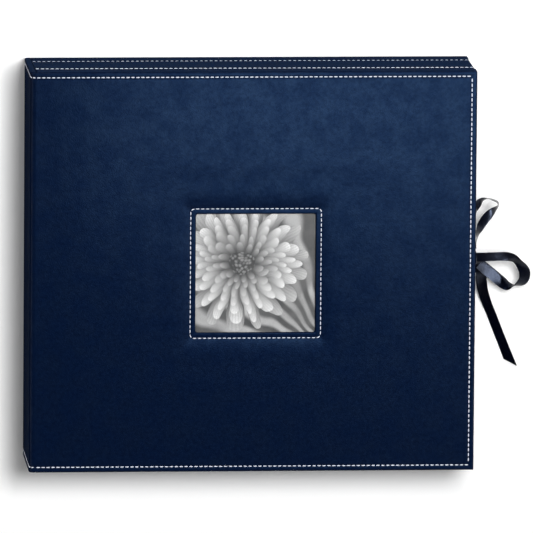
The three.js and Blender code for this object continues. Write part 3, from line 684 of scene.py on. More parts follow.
def ribbon(name, route, slant=0.0):
    """A woven ribbon along a route, slightly curled across, with firmer edges."""
    line = spline(route, RIBBON_STEP)
    middle, given = line[:, :3], line[:, 3:]
    along = unit(np.gradient(middle, axis=0))
    side = unit(given - (given * along).sum(1)[:, None] * along)
    up = np.cross(side, along)
    shares = np.linspace(-1, 1, RIBBON_SAMPLES)
    half = RIBBON_WIDTH / 2
    distance = np.concatenate([[0], np.cumsum(np.linalg.norm(np.diff(middle, axis=0), axis=1))])
    thick = np.where(np.abs(shares) > 1 - SELVEDGE / half, SELVEDGE_THICKNESS, RIBBON_THICKNESS) / 2
    thick[[0, -1]] *= SELVEDGE_TAPER
    curl = RIBBON_CURL * (CURL_MIDDLE - shares ** 2)
    across = half * np.concatenate([shares, shares[::-1]])
    offset = np.concatenate([curl + thick, (curl - thick)[::-1]])
    cut = slant / half * across
    rings = []
    places = []
    for k in range(len(middle)):
        last = cut * smoothstep(distance[k], distance[-1] - SLANT_REACH, distance[-1])
        ring = zip(across, offset, last)
        rings.append([middle[k] + side[k] * a + up[k] * b + along[k] * c for a, b, c in ring])
        places.extend((distance[k], a, 0) for a in across)
    piece = mesh_piece(name + "_satin", *loft(rings), satin)
    lay_satin(piece, places, name)
    return piece, middle, distance[-1]


def lay_satin(piece, places, name):
    """Give a ribbon piece its places along and across the weave, and fit it to its node."""
    place = piece.data.attributes.new("ribbon_place", "FLOAT_VECTOR", "POINT")
    place.data.foreach_set("vector", np.array(places, np.float32).ravel())
    fit_piece(piece, "ribbon", name)


def ribbon_knot():
    """The knot: a band drawn tight over the crossing, with folds across it."""
    middle = (KNOT_LOW + KNOT_HIGH) / 2
    reach = (KNOT_HIGH - KNOT_LOW) / 2
    rings = []
    for k in range(1, KNOT_ROWS):
        v = k / KNOT_ROWS * math.pi
        closing = math.sin(v) ** KNOT_CLOSING
        ring = []
        for i in range(KNOT_AROUND):
            u = i / KNOT_AROUND * 2 * math.pi
            fold = math.sin(FOLD_COUNT * v + FOLD_SWAY * math.sin(u) + FOLD_PHASE)
            pinch = 1 - KNOT_PINCH * abs(math.cos(v)) + FOLD_DEPTH * fold
            ways = (math.cos(u), math.sin(u))
            x, z = (math.copysign(abs(way) ** KNOT_POWER, way) * closing for way in ways)
            ring.append((
                middle.x + reach.x * x * pinch,
                middle.y + reach.y * math.cos(v),
                middle.z + reach.z * z * pinch,
            ))
        rings.append(ring)
    piece = mesh_piece("ribbon_knot_folds", *loft(rings), satin)
    lay_satin(piece, [(v.co.z, v.co.y, 0) for v in piece.data.vertices], "ribbon_knot")
    return piece


def tie_ribbons():
    for name, route in RIBBON_ROUTES.items():
        slant = TAIL_SLANT if name == "ribbon_tail" else 0.0
        ribbon(name, route, slant)
    knot = ribbon_knot()


tie_ribbons()


# Stitching.
def stitch_line(points, ups, closed=False, thickness=1.0, share=STITCH_SHARE):
    """Vertices and faces of one thread, which lies on the leather in each stitch and sinks in between."""
    points = np.asarray(points, float)
    ups = np.asarray(ups, float)
    if closed:
        points = np.vstack([points, points[:1]])
        ups = np.vstack([ups, ups[:1]])
    lengths = np.linalg.norm(np.diff(points, axis=0), axis=1)
    total = lengths.sum()
    reach = np.concatenate([[0], np.cumsum(lengths)])
    count = max(1, round(total / STITCH_PITCH))
    samples = np.linspace(0, total, count * STITCH_RINGS + 1)
    if closed:
        samples = samples[:-1]
    middle = np.stack([np.interp(samples, reach, points[:, i]) for i in range(3)], 1)
    up = unit(np.stack([np.interp(samples, reach, ups[:, i]) for i in range(3)], 1))
    along = np.roll(middle, -1, 0) - np.roll(middle, 1, 0) if closed else np.gradient(middle, axis=0)
    along = unit(along)
    side = unit(np.cross(up, along))
    pitch = total / count
    inside = np.clip((samples / pitch) % 1 / share, 0, 1)
    swell = np.sqrt(np.abs(np.sin(math.pi * inside)))
    radius = LINK_RADIUS + (thickness * STITCH_RADIUS - LINK_RADIUS) * swell
    lift = STITCH_LIFT * STITCH_RADIUS * thickness * swell - STITCH_SINK * (1 - swell)
    turn = 2 * math.pi * np.arange(STITCH_SIDES) / STITCH_SIDES
    rings = []
    for k in range(len(samples)):
        twist = 1 + PLY_DEPTH * np.cos(2 * turn + 2 * math.pi * samples[k] / STITCH_PITCH * PLY_TURNS)
        wide = radius[k] * np.cos(turn) * twist
        high = radius[k] * np.sin(turn) * twist * STITCH_FLATNESS + lift[k]
        rings.append(middle[k] + side[k] * wide[:, None] + up[k] * high[:, None])
    return loft(rings, closed)


# Covers. Soft waves are their height, size and seed, and fade out over these distances.
COVER_WAVES = [(0.00016, 0.034, 1), (0.00006, 0.011, 2)]
CALM_EDGE = (0.004, 0.02)
CALM_WINDOW = (0.004, 0.03)
CALM_SPINE = (0, 0.02)

# Distances of the mesh's loops in from a cover's edge, and out from the window.
EDGE_INSETS = [0, 0.00008, 0.0003, 0.0007, 0.0012, 0.0018, 0.0024, 0.003, 0.0034, 0.0038, 0.0042,
               0.0046, 0.005, 0.0055, 0.0061, 0.007, 0.0085, 0.0105, 0.013, 0.016]
WINDOW_REACHES = [0.031, 0.0285, 0.0265, 0.0245, 0.0222, 0.020, 0.018, 0.016, 0.014, 0.0122, 0.0105,
                  0.009, 0.0078, 0.0068, 0.006, 0.0054, 0.005, 0.0046, 0.0042, 0.0038, 0.0033, 0.0027,
                  0.002, 0.0013, 0.0008, 0.0004, 0.00015, 0]
FACE_REACH = 1.25 * WINDOW_SLOPE
FACE_STEPS = 44
SIDE_LOOPS = 7
LEFT_SHARE = 0.15
PLAN_CORNER = 0.0012
PLAN_CORNER_LOSS = 0.3
PLAN_CORNER_LEAST = 0.0003
BACK_MIDDLE = 0.02
BACK_MIDDLE_CORNER = 0.004
BACK_STEPS = 24
RIM = [(SKIN + 0.00015, 0.0), (RIM_ROUND, 0.0), (0.3 * RIM_ROUND, 0.3 * RIM_ROUND), (0.0, RIM_ROUND)]
RIM_INSET = RIM[0][0]


def edge_drop(inset, radius=EDGE_ROUND):
    """How far a padded face lies below its plane, by the distance in from a free edge."""
    from_edge = np.clip(radius - inset, 0, radius)
    rounding = radius - np.sqrt(radius ** 2 - from_edge ** 2)
    valley = SEAM_DEPTH * np.exp(-(((inset - SEAM_INSET) / SEAM_HALF_WIDTH) ** 2))
    return rounding + valley


def free_inset(x, y):
    """Distance in from the nearest of the head, fore-edge and tail."""
    return np.minimum(HALF_HEIGHT - np.abs(y), HALF_WIDTH - x)


def window_reach(x, y):
    """Distance out from the window's opening, round at its corners."""
    qx = np.maximum(np.abs(x - WINDOW_X) - WINDOW_HALF, 0)
    qy = np.maximum(np.abs(y - WINDOW_Y) - WINDOW_HALF, 0)
    return (qx ** WINDOW_POWER + qy ** WINDOW_POWER) ** (1 / WINDOW_POWER)


def window_drop(reach):
    """How far the front lies below its plane, by the distance out from the window."""
    lip = ALBUM_TOP - LIP_TOP
    share = np.clip((reach - LIP_WIDTH) / (WINDOW_SLOPE - LIP_WIDTH), 0, 1)
    slope = lip * (1 - share) ** SLOPE_POWER
    valley = WINDOW_SEAM_DEPTH * np.exp(-(((reach - SEAM_INSET) / WINDOW_SEAM_HALF_WIDTH) ** 2))
    from_edge = np.clip(LIP_ROUND - reach, 0, LIP_ROUND)
    rounding = LIP_ROUND - np.sqrt(LIP_ROUND ** 2 - from_edge ** 2)
    return slope + valley + rounding


def front_height(points):
    """Height of the front cover's padded face at points (x, y)."""
    x, y = points[:, 0], points[:, 1]
    inset = free_inset(x, y)
    reach = window_reach(x, y)
    flat_points = [(a, b, 0.0) for a, b in points]
    calm = smoothstep(inset, *CALM_EDGE) * smoothstep(reach, *CALM_WINDOW)
    calm *= smoothstep(x - COVER_LEFT, *CALM_SPINE)
    swell = smoothstep(inset, CROWN_START, CROWN_REACH) * smoothstep(reach, WINDOW_SLOPE, CROWN_REACH)
    swell *= smoothstep(x - COVER_LEFT, 0, CROWN_REACH)
    waves = sum(height * ripple(flat_points, size, seed) for height, size, seed in COVER_WAVES)
    return ALBUM_TOP - edge_drop(inset) - window_drop(reach) + CROWN * swell + calm * waves


def cover_loop(inset, left_inset=None):
    """A loop round a cover at a distance in from its sides, less at the spine."""
    left = LEFT_SHARE * inset if left_inset is None else left_inset
    radius = max(PLAN_CORNER - PLAN_CORNER_LOSS * inset, PLAN_CORNER_LEAST)
    top = HALF_HEIGHT - inset
    return rounded_loop(COVER_LEFT + left, HALF_WIDTH - inset, -top, top, radius)


def rim_loop(z):
    """The inner loop of a cover's rim, at a height."""
    return at_height(cover_loop(RIM_INSET, RIM_INSET), z)


def window_square(reach, corner, **layout):
    half = WINDOW_HALF + reach
    x0, x1, y0, y1 = WINDOW_X - half, WINDOW_X + half, WINDOW_Y - half, WINDOW_Y + half
    return rounded_loop(x0, x1, y0, y1, corner, **layout)


def window_loop(reach):
    return window_square(reach, WINDOW_CORNER + reach / 2)


def at_height(loop, z):
    heights = np.broadcast_to(z, len(loop))
    return np.column_stack([loop, heights])


def side_loops(bottom, side_top):
    """Loops up a cover's sides, from the rim underneath to where the rounding starts."""
    edge = cover_loop(0)
    loops = [at_height(cover_loop(inset, inset), bottom + up) for inset, up in RIM]
    for k in range(1, SIDE_LOOPS):
        t = k / SIDE_LOOPS
        loops.append(at_height(edge, bottom + RIM_ROUND + (side_top - bottom - RIM_ROUND) * t))
    return loops


def between(outer, inner, steps):
    """Loops evenly spaced from one loop to another, without these two."""
    return [outer + (inner - outer) * (k / steps) for k in range(1, steps)]


def front_cover():
    """The front cover's leatherette over its padding, open at the window."""
    bottom = FRONT_LOW.z
    face = [cover_loop(inset) for inset in EDGE_INSETS]
    face += between(face[-1], window_loop(FACE_REACH), FACE_STEPS)
    face += [window_loop(reach) for reach in WINDOW_REACHES]
    face = [at_height(loop, front_height(loop)) for loop in face]
    pocket = FILM_HIGH.x - WINDOW_X - WINDOW_HALF + POCKET_GAP
    under = [
        at_height(window_loop(0), LIP_BOTTOM),
        at_height(window_loop(pocket), LIP_BOTTOM),
        at_height(window_loop(pocket), PAD_BOTTOM),
        rim_loop(PAD_BOTTOM),
    ]
    loops = side_loops(bottom, face[0][:, 2]) + face + under
    piece = mesh_piece("front_cover_leather", *loft(loops, closed=True), leather)
    fit_piece(piece, "leatherette", "front_skin", "front_foam")


def back_cover():
    """The back cover's leatherette over its padding, pressed flat where it lies."""
    top = BACK_HIGH.z
    face = []
    for inset in EDGE_INSETS:
        loop = cover_loop(inset)
        face.append(at_height(loop, edge_drop(free_inset(loop[:, 0], loop[:, 1]))))
    sides = [at_height(loop[:, :2], top - loop[:, 2]) for loop in side_loops(0, top - face[0][:, 2])]
    outer = cover_loop(EDGE_INSETS[-1])
    inner = rounded_loop(-BACK_MIDDLE, BACK_MIDDLE, -BACK_MIDDLE, BACK_MIDDLE, BACK_MIDDLE_CORNER)
    face += [at_height(loop, 0) for loop in [*between(outer, inner, BACK_STEPS), inner]]
    pad_top = top - (PAD_BOTTOM - FRONT_LOW.z)
    piece = mesh_piece("back_cover_leather", *loft([rim_loop(pad_top)] + sides + face), leather)
    fit_piece(piece, "leatherette", "back_skin", "back_foam")


front_cover()
back_cover()


# Spine, with the folds at both its sides. Its waves fade out by the folds, the ends and their seams.
JOIN = 0.00015
FOLD_STEPS = 14
SPINE_SAMPLES = 70
SPINE_ROWS = 40
SPINE_WAVES = 0.00012
WAVE_SIZE = 0.03
WAVE_FADE = 0.008
SPINE_SEED = 3
CALM_END = (0.006, 0.02)
FACE_LIMIT = 0.0001
FRONT_FOLD_Z = FOLD_LOW.z
BACK_FOLD_Z = FOLD_RADIUS


def end_samples():
    """Places along Y, closer together at the rounded ends and their seams."""
    half = [HALF_HEIGHT - inset for inset in EDGE_INSETS]
    middle = np.linspace(half[-1], -half[-1], SPINE_SAMPLES)[1:-1]
    return np.array(half + list(middle) + [-y for y in reversed(half)])


def fold(name, z, up, cover_body):
    """The quarter-round fold between the spine and a cover: up is 1 at the front and -1 at the back."""
    rings = []
    for y in end_samples():
        inset = HALF_HEIGHT - abs(y)
        arcs = []
        for thickness in (0.0, SKIN):
            arc = []
            for t in np.linspace(0, 1, FOLD_STEPS):
                rounding = SPINE_ROUND + (EDGE_ROUND - SPINE_ROUND) * t
                radius = FOLD_RADIUS - edge_drop(inset, rounding) - thickness
                turn = t * math.pi / 2
                arc.append((HINGE_X - radius * math.cos(turn), y, z + up * radius * math.sin(turn)))
            strip = (arc[0][0], y, z - up * JOIN)
            lap = (COVER_LEFT, y, arc[-1][2])
            arcs.append([strip, *arc, lap])
        rings.append(arcs[0] + arcs[1][::-1])
    piece = mesh_piece(name + "_leather", *loft(rings), leather)
    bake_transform(piece, "spine", cover_body, start=(SPINE_FACE, 0, z), end=(HINGE_X, 0, z))
    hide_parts(name)


def spine_leather():
    """The spine's leatherette, turned in over the board at the head and tail."""
    inner = SPINE_HIGH.x
    cavity = SPINE_FACE + SKIN
    reach = HALF_HEIGHT - SKIN
    face = [(SPINE_FACE + edge_drop(HALF_HEIGHT - abs(y), SPINE_ROUND), y) for y in end_samples()]
    turned = [(cavity, -reach), (cavity, reach), (inner, reach)]
    outline = [(inner, HALF_HEIGHT), *face, (inner, -HALF_HEIGHT), (inner, -reach), *turned]
    low, high = BACK_FOLD_Z + JOIN, FRONT_FOLD_Z - JOIN
    rings = []
    outside = [x < cavity - FACE_LIMIT for x, y in outline]
    calm = [smoothstep(HALF_HEIGHT - abs(y), *CALM_END) * out for (x, y), out in zip(outline, outside)]
    for z in np.linspace(low, high, SPINE_ROWS):
        fade = smoothstep(min(z - low, high - z), 0.0, WAVE_FADE)
        waves = SPINE_WAVES * fade * ripple([(z, y, 0) for x, y in outline], WAVE_SIZE, SPINE_SEED)
        rings.append([(x + w * c, y, z) for (x, y), w, c in zip(outline, waves, calm)])
    fit_piece(mesh_piece("spine_leather", *loft(rings), leather), "leatherette", "spine_skin")


fold("front_fold", FRONT_FOLD_Z, 1, "front_cover")
fold("back_fold", BACK_FOLD_Z, -1, "tray")
spine_leather()

# Walls of the tray: outline, seams, mesh, crest and waves.
WALL_CORNER = 0.0016
WALL_SKIN = 0.001
WALL_TOP_ROUND = 0.0012
WALL_STAND = 0.0006
WALL_SEAM_INSET = 0.0096
WALL_SEAM_DEPTH = 0.0004
WALL_SEAM_HALF_WIDTH = 0.0014
WALL_THICKNESS = 0.0048
WALL_STEP = 0.004
WALL_CORNER_STEPS = 10
WALL_ROWS = 34
SEAM_REACH = 0.0025
SEAM_ROWS = 9
CREST_START = 0.2
CREST_STEPS = 6
WALL_WAVES = 0.00013
WALL_SEED = 4
CALM_SEAM = (0.001, 0.006)
FACE_DEPTH = 0.0005
WALL_LOW_SEAM = WALL_LOW.z + WALL_SEAM_INSET
WALL_HIGH_SEAM = WALL_HIGH.z - WALL_SEAM_INSET
WALL_SEAMS = (WALL_LOW_SEAM, WALL_HIGH_SEAM)


def wall_path(outward=0.0):
    """Points (x, y) and outward directions round the head, fore-edge and tail walls."""
    wx, wy = WALL_HIGH.x + outward, WALL_HIGH.y + outward
    radius = WALL_CORNER + outward
    points, ways = [], []

    cx, cy = wx - radius, wy - radius

    def straight(a, b, way):
        count = max(2, round(math.dist(a, b) / WALL_STEP)) + 1
        points.extend(np.linspace(a, b, count))
        ways.extend([way] * count)

    def corner(y, first):
        turn = (first, first - 1, WALL_CORNER_STEPS)
        points.extend(arc_points(cx, y, radius, *turn)[1:-1])
        ways.extend(arc_points(0, 0, 1, *turn)[1:-1])

    straight((COVER_LEFT, wy), (cx, wy), (0, 1))
    corner(cy, 1)
    straight((wx, cy), (wx, -cy), (1, 0))
    corner(-cy, 0)
    straight((cx, -wy), (COVER_LEFT, -wy), (0, -1))
    return np.array(points), np.array(ways)


def wall_face(z):
    """How far the wall's leatherette stands out at a height."""
    out = WALL_STAND
    for seam in WALL_SEAMS:
        out -= WALL_SEAM_DEPTH * math.exp(-(((z - seam) / WALL_SEAM_HALF_WIDTH) ** 2))
    return out


def wall_calm(out, z):
    """How far the waves may show at a point of the wall's outline."""
    if out <= -FACE_DEPTH:
        return 0.0
    ends = smoothstep(z, WALL_LOW.z, WALL_LOW.z + WAVE_FADE) * smoothstep(WALL_HIGH.z - z, 0.0, WAVE_FADE)
    return ends * smoothstep(min(abs(z - seam) for seam in WALL_SEAMS), *CALM_SEAM)


def wall_leather():
    """The leatherette round the walls, turned over their top edge."""
    low, high = WALL_LOW.z, WALL_HIGH.z
    near_seams = np.linspace(-SEAM_REACH, SEAM_REACH, SEAM_ROWS)
    heights = {*np.linspace(low, high - WALL_TOP_ROUND, WALL_ROWS)}
    heights.update(seam + off for seam in WALL_SEAMS for off in near_seams)
    outline = [(wall_face(z), z) for z in sorted(heights)]
    out, z = WALL_STAND - WALL_TOP_ROUND, high - WALL_TOP_ROUND
    for turn in np.linspace(CREST_START, math.pi / 2, CREST_STEPS):
        outline.append((out + WALL_TOP_ROUND * math.cos(turn), z + WALL_TOP_ROUND * math.sin(turn)))
    outline += [(-WALL_THICKNESS, high), (-WALL_THICKNESS, high - WALL_SKIN)]
    outline += [(-WALL_SKIN, high - WALL_SKIN), (-WALL_SKIN, low)]
    points, ways = wall_path()
    rings = [
        [(x + dx * out, y + dy * out, z) for out, z in outline]
        for (x, y), (dx, dy) in zip(points, ways)
    ]
    rings = np.array(rings)
    calm = np.array([wall_calm(out, z) for out, z in outline])
    waves = np.array([ripple(ring, WAVE_SIZE, WALL_SEED) for ring in rings])
    rings[:, :, :2] += (WALL_WAVES * waves * calm)[:, :, None] * ways[:, None, :]
    fit_piece(mesh_piece("wall_leather", *loft(list(rings)), leather), "leatherette", "wall_skin")


wall_leather()

# Rows of stitching, each where its node is. A thread is a share of the full radius, and of the spacing.
SEAM_Y = HALF_HEIGHT - SEAM_INSET
SEAM_X = HALF_WIDTH - SEAM_INSET
SEAT = SEAM_DEPTH - SEAT_RISE
CORNER_GAP = 0.002
FOLD_TURNS = 12
WINDOW_ROW_STEPS = 24
WINDOW_THREAD = (0.80, 0.70)
LOWER_THREAD = (0.72, 0.8)
UPPER_THREAD = (1.05, 0.88)


def line_of(points, up):
    return points, [up] * len(points)


def cover_rows(z, up):
    """Three rows by the head, fore-edge and tail of a cover, which meet at its corners."""
    lines = (
        [(COVER_LEFT, SEAM_Y, z), (SEAM_X, SEAM_Y, z)],
        [(SEAM_X, SEAM_Y - CORNER_GAP, z), (SEAM_X, CORNER_GAP - SEAM_Y, z)],
        [(SEAM_X, -SEAM_Y, z), (COVER_LEFT, -SEAM_Y, z)],
    )
    return [stitch_line(*line_of(line, (0, 0, up))) for line in lines]


def fold_rows(z, up):
    """The rows carried over a fold, at the head and tail."""
    rows = []
    radius = FOLD_RADIUS - SEAT
    turns = np.linspace(0, math.pi / 2, FOLD_TURNS)
    ways = [(-math.cos(t), 0, up * math.sin(t)) for t in turns]
    for y in (SEAM_Y, -SEAM_Y):
        points = [(HINGE_X - radius * math.cos(t), y, z + up * radius * math.sin(t)) for t in turns]
        rows.append(stitch_line(points, ways))
    return rows


def window_row():
    loop = window_square(SEAM_INSET, WINDOW_SEAM_CORNER, steps=WINDOW_ROW_STEPS, crowding=0.0)
    z = LIP_TOP - WINDOW_SEAM_DEPTH + SEAT_RISE
    line = line_of([(x, y, z) for x, y in loop], (0, 0, 1))
    return [stitch_line(*line, True, *WINDOW_THREAD)]


def wall_row(z, thread):
    points, ways = wall_path(wall_face(z))
    return [stitch_line([(x, y, z) for x, y in points], [(dx, dy, 0) for dx, dy in ways], False, *thread)]


def spine_row(y):
    x = SPINE_FACE + SEAT
    return [stitch_line(*line_of([(x, y, BACK_FOLD_Z), (x, y, FRONT_FOLD_Z)], (-1, 0, 0)))]


def sew():
    """Make the rows of each stitching node, and those on the folds, which stand for no node."""
    rows = {
        "front_stitching": cover_rows(ALBUM_TOP - SEAT, 1),
        "back_stitching": cover_rows(SEAM_DEPTH, -1),
        "window_stitching": window_row(),
        "spine_stitching_head": spine_row(SEAM_Y),
        "spine_stitching_tail": spine_row(-SEAM_Y),
        "wall_stitching_lower": wall_row(WALL_LOW_SEAM, LOWER_THREAD),
        "wall_stitching_upper": wall_row(WALL_HIGH_SEAM, UPPER_THREAD),
    }
    for node, made in rows.items():
        name = node.replace("stitching", "stitches")
        fit_piece(mesh_piece(name, *join(made), thread_finish, THREAD_ANGLE), "thread", node)
    for side, z, up, body in (("front", FRONT_FOLD_Z, 1, "front_cover"), ("back", BACK_FOLD_Z, -1, "tray")):
        made = join(fold_rows(z, up))
        piece = mesh_piece(side + "_fold_stitches", *made, thread_finish, THREAD_ANGLE)
        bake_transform(piece, "spine", body, start=(SPINE_FACE, 0, 0), end=(HINGE_X, 0, 0))


sew()

# Ring mechanism: round wires, a folded housing, its rivets, and a lever at each end.
WIRE_RADIUS = 0.002
WIRE_BEND = 0.004
SHOULDER_BEND = 0.016
WIRE_SIDES = 24
WIRE_STEP = 0.0007
SPLIT_GAP = 0.0001
TOOTH = 0.0012
TOOTH_ROOT = 1.2
TOOTH_SIDE = 0.05
TIP_SHARES = (1.0, 0.6, 0.05)
BEND_STEPS = 8
SHOULDER_STEPS = 20
RING_PLACES = ("head", "middle", "tail")
SHEET_STEP = 0.0005
HOUSING_STATIONS = 60
HOUSING_SHEET = 0.0009
HOUSING_PROFILE = [(1.0, 0.0), (1.0, 0.43), (0.975, 0.58), (0.86, 0.74), (0.70, 0.915), (0.58, 0.985),
                   (0.40, 1.0), (0.0, 1.0)]
NOTCH_WIDTH = 0.0052
NOTCH_INNER = 0.0062
RIVET_PROFILE = [(1.0, 0.0), (1.0, 0.2), (0.94, 0.46), (0.78, 0.76), (0.54, 0.95), (0.34, 1.0), (0.24, 0.92),
                 (0.17, 0.6), (0.03, 0.5)]
LEVER_SHEET = 0.0013
LEVER_TOE = 0.003
LEVER_WIDTH = 0.011
LEVER_PATH = [(-0.003, 0.0), (0.0, 0.0), (0.0034, 0.0), (0.0056, 0.0010), (0.0072, 0.0038), (0.0100, 0.0100),
              (0.0128, 0.0156), (0.0137, 0.0166), (0.0150, 0.0169)]
LEVER_TIP = 0.003
LEVER_TIP_SHARE = 0.96
LEVER_SAMPLES = 15
LEVER_DISH = 0.0005
DISH_RISE = (0.002, 0.006)
PIN_RADIUS = 0.0012
PIN_LENGTH = 0.0196
PIN_SIDES = 20
PIVOT_RISE = 0.0026
RIVET_SIDES = 28
HOUSING_LOW, HOUSING_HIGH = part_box("ring_housing")
HOUSING_X = (HOUSING_LOW.x + HOUSING_HIGH.x) / 2


def fit_metal(name, ending, vertices, faces, sharp=METAL_ANGLE):
    """A nickel piece in place of a node."""
    fit_piece(mesh_piece(name + ending, vertices, faces, nickel, sharp), "nickel", name)


def circle(sides):
    """Evenly spaced directions round a circle, as pairs of a cosine and a sine."""
    return [(math.cos(2 * math.pi * k / sides), math.sin(2 * math.pi * k / sides)) for k in range(sides)]


def wire(name, path, y, tooth):
    """A round wire along a path in the plane at y, whose free end has a stepped tooth."""
    middle = spline([(x, y, z) for x, z in path], WIRE_STEP)
    along = unit(np.gradient(middle, axis=0))
    side = np.array((0.0, 1.0, 0.0))
    around = [np.array([c * side + s * np.cross(side, way) for c, s in circle(WIRE_SIDES)]) for way in along]
    to_end = np.linalg.norm(middle - middle[-1], axis=1)
    kept = [k for k in range(len(middle)) if to_end[k] > TOOTH_ROOT * TOOTH]
    rings = [middle[k] + WIRE_RADIUS * around[k] for k in kept]
    step = tooth * TOOTH * (around[-1][:, 2] > TOOTH_SIDE)
    for share in TIP_SHARES:
        rings.append(middle[-1] + share * WIRE_RADIUS * around[-1] + step[:, None] * along[-1])
    fit_metal(name, "_wire", *loft(rings))


def ring_wires():
    """Each ring's leg and arch, which start equally far right and left of the housing's middle."""
    for place in RING_PLACES:
        leg_name, arch_name = f"ring_leg_{place}", f"ring_arch_{place}"
        leg_low, leg_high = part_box(leg_name)
        arch_low, arch_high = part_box(arch_name)
        half = (leg_high.y - leg_low.y) / 2
        y = (leg_low.y + leg_high.y) / 2
        bottom, top = leg_low.z + half, leg_high.z - half
        x = leg_high.x - half - WIRE_BEND
        leg = [
            (leg_low.x, bottom),
            *arc_points(x, bottom + WIRE_BEND, WIRE_BEND, -1, 0, BEND_STEPS),
            *arc_points(x, top - WIRE_BEND, WIRE_BEND, 0, 1, BEND_STEPS),
            (arch_high.x + SPLIT_GAP, top),
        ]
        x = arch_low.x + half
        arch = [
            (2 * HOUSING_X - leg_low.x, bottom),
            *arc_points(x + WIRE_BEND, bottom + WIRE_BEND, WIRE_BEND, -1, -2, BEND_STEPS),
            *arc_points(x + SHOULDER_BEND, top - SHOULDER_BEND, SHOULDER_BEND, 2, 1, SHOULDER_STEPS),
            (arch_high.x, top),
        ]
        wire(leg_name, leg, y, -1)
        wire(arch_name, arch, y, 1)


def plate(outer, inner, keep):
    """Vertices and faces of a sheet between two grids of points, open where keep is false."""
    rows, columns = outer.shape[:2]
    faces = []
    border = set()
    for i in range(rows - 1):
        for j in range(columns - 1):
            if not keep(outer[i, j], outer[i + 1, j + 1]):
                continue
            corners = [(i, j), (i, j + 1), (i + 1, j + 1), (i + 1, j)]
            faces.append([a * columns + b for a, b in corners])
            faces.append([(rows + a) * columns + b for a, b in reversed(corners)])
            border.update(zip(corners, corners[1:] + corners[:1]))
    for (a, b), (c, d) in sorted(border):
        if ((c, d), (a, b)) not in border:
            start, end = a * columns + b, c * columns + d
            faces.append([start, rows * columns + start, rows * columns + end, end])
    return [*outer.reshape(-1, 3), *inner.reshape(-1, 3)], faces


def housing():
    """The housing: a sheet folded down at both sides, with a notch for each wire."""
    low, high = HOUSING_LOW, HOUSING_HIGH
    half, rise = (high.x - low.x) / 2, high.z - low.z
    side = spline([(x * half, z * rise, 0) for x, z in HOUSING_PROFILE], SHEET_STEP)[:, :2]
    profile = np.vstack([side, side[-2::-1] * (-1, 1)])
    along = unit(np.gradient(profile, axis=0))
    inner = profile + HOUSING_SHEET * np.column_stack([-along[:, 1], along[:, 0]])
    inner[0, 1] = inner[-1, 1] = 0.0
    legs = [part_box("ring_leg_" + place) for place in RING_PLACES]
    notches = sorted((a.y + b.y) / 2 + end * NOTCH_WIDTH / 2 for a, b in legs for end in (-1, 1))
    stations = sorted([*np.linspace(low.y, high.y, HOUSING_STATIONS), *notches])

    def keep(a, b):
        y = (a[1] + b[1]) / 2
        inside = any(s < y < e for s, e in zip(notches[::2], notches[1::2]))
        return not (inside and min(abs(a[0] - HOUSING_X), abs(b[0] - HOUSING_X)) > NOTCH_INNER)

    grids = [
        np.array([[(HOUSING_X + x, y, low.z + z) for x, z in line] for y in stations])
        for line in (profile, inner)
    ]
    piece = mesh_piece("housing_sheet", *plate(*grids, keep), nickel, METAL_ANGLE)
    fit_piece(piece, "nickel", "ring_housing")


def rivet(name):
    low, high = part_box(name)
    middle, reach = (low + high) / 2, (high - low) / 2
    rings = []
    for share, rise in RIVET_PROFILE:
        radius, z = share * reach.x, low.z + 2 * rise * reach.z
        rings.append([(middle.x + radius * c, middle.y + radius * s, z) for c, s in circle(RIVET_SIDES)])
    fit_metal(name, "_dome", *loft(rings), SOFT_ANGLE)


def lever(name, side):
    """A bent lever with a rounded, curled tip, turning on a pin in the housing."""
    low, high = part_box(name)
    pivot = low.y + LEVER_TOE if side > 0 else high.y - LEVER_TOE
    z = HOUSING_LOW.z + PIVOT_RISE
    path = spline([(0, out, up) for out, up in LEVER_PATH], SHEET_STEP)
    along = unit(np.gradient(path, axis=0))
    up = np.column_stack([np.zeros(len(path)), -along[:, 2], along[:, 1]])
    to_end = np.linalg.norm(path - path[-1], axis=1)
    tip = np.sqrt(1 - np.clip(1 - to_end / LEVER_TIP, 0, LEVER_TIP_SHARE) ** 2)
    half = LEVER_WIDTH / 2 - LEVER_TIP * (1 - tip)
    shares = np.linspace(-1, 1, LEVER_SAMPLES)
    dish = LEVER_DISH * smoothstep(path[:, 2], *DISH_RISE)
    grids = []
    for face in (0.5, -0.5):
        lift = face * LEVER_SHEET - dish[:, None] * (1 - shares[None, :] ** 2)
        grid = path[:, None] + up[:, None] * lift[:, :, None]
        grid[:, :, 0] = HOUSING_X + half[:, None] * shares[None, :]
        grid[:, :, 1] = side * (abs(pivot) + grid[:, :, 1])
        grid[:, :, 2] += z
        grids.append(grid)
    pin = [
        [(HOUSING_X + x, pivot + PIN_RADIUS * c, z + PIN_RADIUS * s) for c, s in circle(PIN_SIDES)]
        for x in (-PIN_LENGTH / 2, PIN_LENGTH / 2)
    ]
    fit_metal(name, "_tab", *join([plate(*grids, lambda a, b: True), loft(pin)]))


ring_wires()
housing()
rivet("housing_rivet_head")
rivet("housing_rivet_tail")
lever("head_lever", 1)
lever("tail_lever", -1)

# Finishes of the pieces that keep their CAD shape, by the start of their names.
KEPT_FINISHES = {
    board_finish: ("front_board", "back_board", "spine_board", "pocket_backing", "fore_edge_wall_board",
                   "head_wall_board", "tail_wall_board"),
    lining_finish: ("front_lining", "back_lining", "spine_lining", "wall_lining"),
    window_clear: ("window_film",),
    print_finish: ("photo_card",),
    sleeve_clear: ("page_protector",),
    paper_finish: ("page_sheet",),
    nickel: ("left_blade", "right_blade"),
}
for finish, names in KEPT_FINISHES.items():
    for name, node in nodes.items():
        if name.startswith(names):
            node.material_slots[0].material = finish

